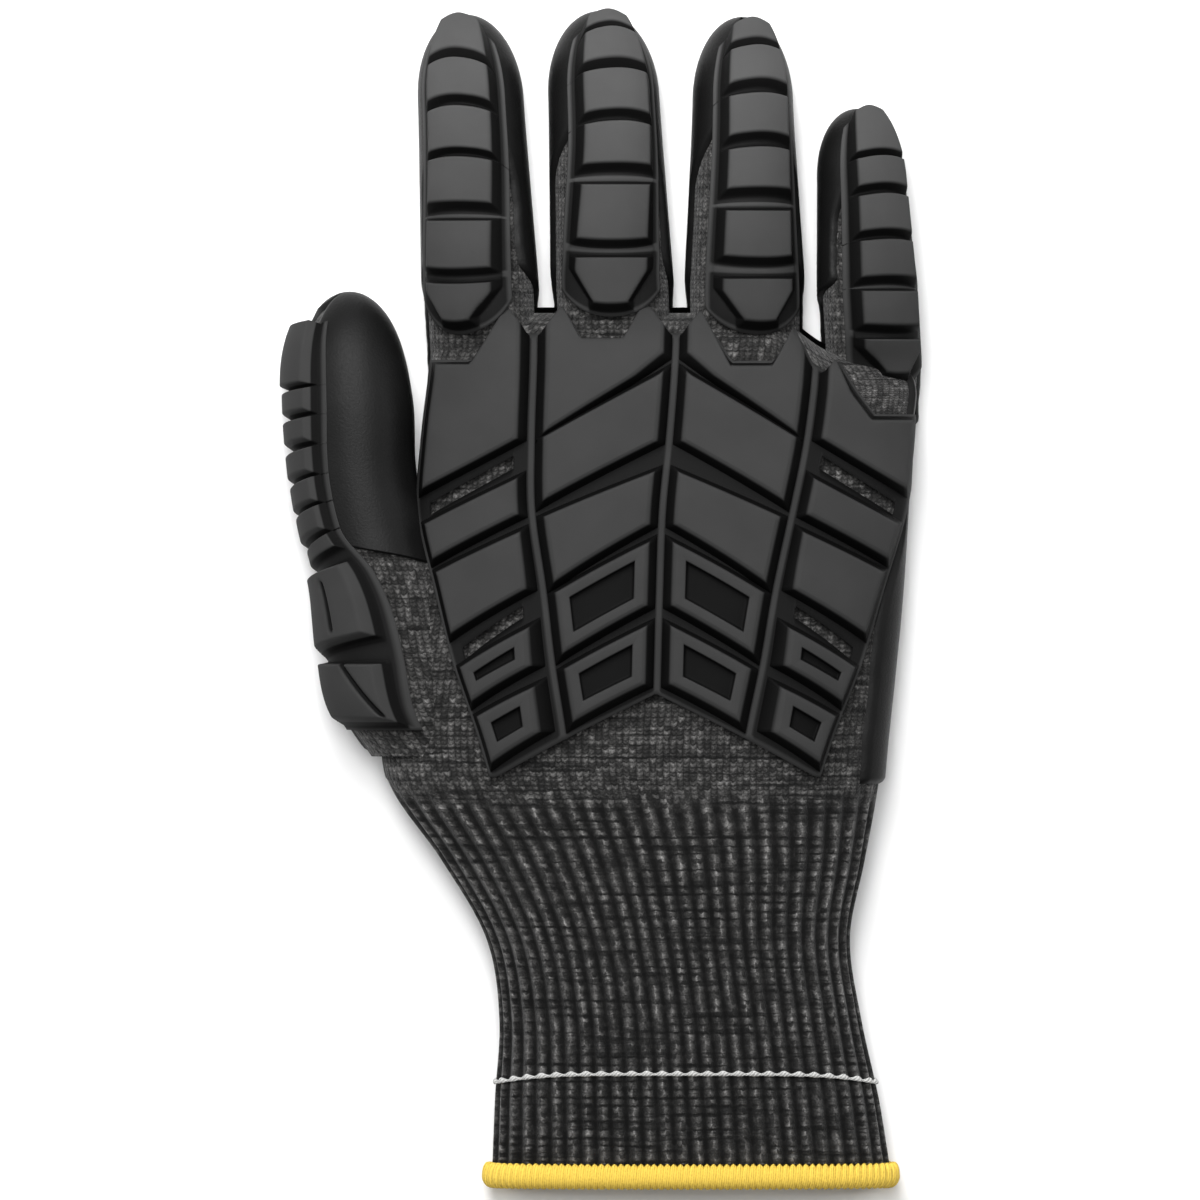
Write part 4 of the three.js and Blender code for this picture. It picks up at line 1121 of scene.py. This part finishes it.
class Shader:
    """A principled material and short ways to wire its nodes."""

    def __init__(self, name):
        self.material = bpy.data.materials.new(name)
        self.material.use_nodes = True
        self.tree = self.material.node_tree
        self.surface = self.tree.nodes["Principled BSDF"]

    def node(self, kind, inputs=None, **settings):
        item = self.tree.nodes.new(kind)
        for key, value in settings.items():
            setattr(item, key, value)
        for key, value in (inputs or {}).items():
            self.feed(item.inputs[key], value)
        return item

    def feed(self, socket, value):
        if isinstance(value, bpy.types.NodeSocket):
            self.tree.links.new(value, socket)
        else:
            socket.default_value = value

    def math(self, operation, a, b=None, clamp=False):
        inputs = {0: a} if b is None else {0: a, 1: b}
        return self.node("ShaderNodeMath", inputs, operation=operation, use_clamp=clamp).outputs[0]

    def times(self, a, b, clamp=False):
        return self.math("MULTIPLY", a, b, clamp)

    def plus(self, a, b):
        return self.math("ADD", a, b)

    def minus(self, a, b, clamp=False):
        return self.math("SUBTRACT", a, b, clamp)

    def noise(self, vector, scale, detail=2.0):
        item = self.node("ShaderNodeTexNoise", {"Vector": vector, "Scale": scale, "Detail": detail})
        return item.outputs[0]

    def place(self):
        return self.node("ShaderNodeTexCoord").outputs["Object"]

    def wales(self):
        layer = self.node("ShaderNodeUVMap", uv_map="UVMap").outputs[0]
        parts = self.node("ShaderNodeSeparateXYZ", {0: layer})
        return parts.outputs[0], parts.outputs[1]

    def vector(self, x, y):
        return self.node("ShaderNodeCombineXYZ", {0: x, 1: y}).outputs[0]

    def ramp(self, value, stops):
        item = self.node("ShaderNodeValToRGB", {0: value})
        marks = item.color_ramp.elements
        while len(marks) < len(stops):
            marks.new(0.5)
        for mark, (position, colour) in zip(marks, stops):
            mark.position = position
            mark.color = (*colour, 1.0)
        return item.outputs[0]

    def blend(self, a, b, mode):
        """Blends two colours in full; sockets 6 and 7 and output 2 of the node are its colours."""
        item = self.node("ShaderNodeMix", {0: 1.0, 6: a, 7: b}, data_type="RGBA", blend_type=mode)
        return item.outputs[2]

    def bump(self, height, strength, distance):
        item = self.node("ShaderNodeBump", {"Height": height})
        item.inputs["Strength"].default_value = strength
        item.inputs["Distance"].default_value = distance
        self.feed(self.surface.inputs["Normal"], item.outputs[0])

    def colour(self, value):
        self.feed(self.surface.inputs["Base Color"], value)

    def finish(self, roughness, specular):
        self.feed(self.surface.inputs["Roughness"], roughness)
        self.feed(self.surface.inputs["Specular IOR Level"], specular)
        return self.material


def grey(value, warm=0.0):
    return (value * (1 + warm), value, value * (1 - warm))


def knit_material():
    """Loops by wale and course on the hand, dotted crests on the cuff's ribs, in mixed yarn, with
    painted shade in the hollows.
    """
    shader = Shader("knit")
    u, v = shader.wales()
    place = shader.place()
    # The yarn wanders a little off its wale and its course
    wander = shader.minus(shader.noise(place, 700.0), 0.5)
    u = shader.plus(u, shader.times(wander, 0.5))
    v = shader.plus(v, shader.times(wander, 0.9))
    ribbed = shader.times(v, -0.2, clamp=True)
    # Loops slant across their wale, with painted shade where they meet
    across = shader.math("PINGPONG", u, 0.5)
    wale = shader.math("POWER", shader.times(across, 2.0), 0.6)
    turned = shader.plus(v, shader.times(across, 0.9))
    course = shader.times(shader.math("PINGPONG", turned, 0.5), 2.0)
    loop = shader.times(wale, shader.math("POWER", course, 0.6))
    # Three wales make a rib, with painted light in dots along its crest and painted shade in its
    # grooves and along thin crossing courses
    rib = shader.minus(1.0, shader.times(shader.math("PINGPONG", u, 1.5), 0.66))
    dots = shader.math("PINGPONG", shader.times(v, 0.56), 0.5)
    crest = shader.times(shader.math("POWER", rib, 2.6), shader.plus(dots, 0.7))
    line = shader.minus(1.0, shader.times(dots, 4.0), clamp=True)
    row = shader.vector(shader.times(u, 0.05), shader.times(v, 0.8))
    row = shader.noise(row, 1.0)
    held = shader.times(shader.minus(row, 0.44, clamp=True), 9.0, clamp=True)
    line = shader.times(line, shader.times(held, 0.9))
    crest = shader.times(crest, shader.minus(1.0, line))
    plain = shader.plus(shader.times(loop, 0.58), 0.09)
    loop = shader.plus(shader.times(plain, shader.minus(1.0, ribbed)), shader.times(crest, ribbed))
    # Light and dark yarn, mixed by stitch, streak, fibre and course
    stitch = shader.vector(shader.math("FLOOR", u), shader.math("FLOOR", turned))
    random = shader.node("ShaderNodeTexWhiteNoise", {"Vector": stitch}, noise_dimensions="2D")
    streak = shader.noise(shader.vector(u, shader.times(v, 0.2)), 0.8, 3.0)
    dark_row = shader.times(shader.minus(row, 0.54, clamp=True), 8.0, clamp=True)
    fibre = shader.noise(place, 2600.0)
    mixed = shader.plus(shader.times(random.outputs[0], 0.3), -0.1)
    mixed = shader.plus(mixed, shader.times(streak, 0.55))
    mixed = shader.plus(mixed, shader.times(fibre, 0.48))
    mixed = shader.minus(mixed, shader.times(dark_row, 0.32))
    pale = [(0.48, grey(0.03, 0.02)), (0.68, grey(0.098, 0.02)), (0.92, grey(0.27, 0.02))]
    yarn = shader.ramp(mixed, [(0.22, grey(0.008)), *pale])
    # Painted shade from the loop height: the colour darkens in the hollows between loops, in the rib
    # grooves and along the thin courses
    depth = shader.ramp(loop, [(0.0, grey(0.04)), (0.8, grey(1.0))])
    shader.colour(shader.blend(yarn, depth, "MULTIPLY"))
    height = shader.plus(loop, shader.times(fibre, 0.5))
    shader.bump(height, 0.7, 0.0006)
    shader.surface.inputs["Sheen Weight"].default_value = 0.1
    return shader.finish(0.92, 0.15)


# Along y in metres, where painted light grows on the rubber towards the fingers
FINGER_LIGHT_FROM = 0.07
FINGER_LIGHT_TO = 0.112


def rubber_material():
    """Matt black, with painted shade on the walls, recess floors and web, a painted highlight on the
    web's lines, and painted light growing towards the fingers.
    """
    shader = Shader("rubber")
    place = shader.place()
    raised, ridge_highlight = shader.wales()
    fine = shader.noise(place, 5200.0, 3.0)
    broad = shader.noise(place, 90.0, 3.0)
    # Painted shade on the web, with a painted highlight along its lines
    web = shader.ramp(ridge_highlight, [(0.1, grey(0.012)), (0.6, grey(0.055))])
    # Keeps the web's painted shade and highlight to the rubber at web height
    low = shader.ramp(raised, [(0.0, grey(1.0)), (0.08, grey(0.15))])
    # Painted shade: walls and recess floors much darker than the faces
    wall = [(0.1, grey(0.006)), (0.8, grey(0.006))]
    face = shader.ramp(raised, [(0.0, grey(0.0)), *wall, (0.96, grey(0.056))])
    face = shader.blend(face, shader.blend(web, low, "MULTIPLY"), "LIGHTEN")
    cloud = shader.ramp(broad, [(0.3, grey(0.86)), (0.7, grey(1.0))])
    # Painted light: the rubber grows lighter from the back towards the fingers, as if lit more strongly
    # there
    along_y = shader.node("ShaderNodeSeparateXYZ", {0: place}).outputs[1]
    ends = {0: along_y, 1: FINGER_LIGHT_FROM, 2: FINGER_LIGHT_TO, 3: 0.0, 4: 1.0}
    fingers = shader.node("ShaderNodeMapRange", ends).outputs[0]
    finger_light = shader.ramp(fingers, [(0.0, grey(0.52)), (1.0, grey(1.0))])
    face = shader.blend(face, finger_light, "MULTIPLY")
    shader.colour(shader.blend(face, cloud, "MULTIPLY"))
    shader.bump(fine, 0.1, 0.0001)
    return shader.finish(shader.plus(shader.times(broad, 0.12), 0.6), 0.05)


def coating_material():
    """Black and a little grained, with a dull shine."""
    shader = Shader("coating")
    place = shader.place()
    grain = shader.noise(place, 1900.0, 4.0)
    broad = shader.noise(place, 60.0)
    shader.colour(shader.ramp(broad, [(0.3, grey(0.004)), (0.7, grey(0.006))]))
    shader.bump(grain, 0.35, 0.0002)
    return shader.finish(shader.plus(shader.times(grain, 0.2), 0.38), 0.1)


def yarn_material(name, light, thread_shade, threads):
    """Slanted threads, pale on their crests, with painted shade between them."""
    shader = Shader(name)
    u, v = shader.wales()
    strand = shader.times(shader.plus(u, shader.times(v, 0.6)), threads)
    height = shader.math("PINGPONG", strand, 0.5)
    fibre = shader.noise(shader.place(), 2200.0)
    share = shader.plus(height, shader.times(fibre, 0.6))
    # Painted shade where the threads dip between each other
    shader.colour(shader.ramp(share, [(0.15, thread_shade), (0.6, light)]))
    shader.bump(share, 0.6, 0.0004)
    return shader.finish(0.85, 0.2)


def floor_material():
    shader = Shader("floor")
    grain = shader.noise(shader.place(), 40.0)
    shader.colour(shader.ramp(grain, [(0.0, grey(0.83)), (1.0, grey(0.85))]))
    return shader.finish(0.9, 0.5)


# The pieces

rubber = rubber_material()
knit_piece(knit_material())
coating_piece(coating_material())
back_guard_piece(rubber)
for finger in FINGERS:
    finger_guard_piece(finger, rubber)
thumb_guard_piece(rubber)
hem_piece(yarn_material("hem", (0.72, 0.51, 0.08), (0.42, 0.25, 0.03), 3.0))
marker_piece(yarn_material("marker", (0.5, 0.5, 0.49), (0.12, 0.12, 0.12), 1.0))

# The setting

bpy.ops.mesh.primitive_plane_add(size=3.0, location=(0, 0, 0))
floor = bpy.context.object
floor.name = "floor"
floor.data.materials.append(floor_material())

EYE = 3.0
SEEN_HEIGHT = 0.012
PIXEL = 0.00022
PICTURE_PIXELS = 1200
SENSOR = 36
scene = bpy.context.scene
camera_data = bpy.data.cameras.new("camera")
camera = bpy.data.objects.new("camera", camera_data)
scene.collection.objects.link(camera)
camera_data.sensor_width = SENSOR
camera_data.lens = SENSOR * (EYE - SEEN_HEIGHT) / (PIXEL * PICTURE_PIXELS)
camera.location = (-0.00024, -0.00037, EYE)
scene.camera = camera


def lamp(name, place, target, size, power_watts):
    data = bpy.data.lights.new(name, "AREA")
    data.shape = "DISK"
    data.size = size
    data.energy = power_watts
    item = bpy.data.objects.new(name, data)
    scene.collection.objects.link(item)
    item.location = place
    aim = np.array(target, float) - np.array(place, float)
    yaw = math.atan2(aim[1], aim[0]) - math.pi / 2
    pitch = math.atan2(math.hypot(aim[0], aim[1]), -aim[2])
    item.rotation_euler = (pitch, 0, yaw)


lamp("key", (-0.15, 0.5, 0.85), (0, 0.03, 0), 0.5, 9)
lamp("fingers", (0.0, 0.24, 0.26), (0, 0.08, 0.02), 0.2, 0.6)
lamp("top", (0.0, 0.15, 1.9), (0, 0, 0), 0.8, 19)
for side in (-1, 1):
    lamp("side", (0.5 * side, 0.15, 0.3), (0.06 * side, 0, 0.01), 0.4, 1.2)

world = bpy.data.worlds.new("studio")
world.use_nodes = True
background = world.node_tree.nodes["Background"]
background.inputs["Color"].default_value = (1, 1, 1, 1)
background.inputs["Strength"].default_value = 0.1
scene.world = world
scene.view_settings.view_transform = "Standard"
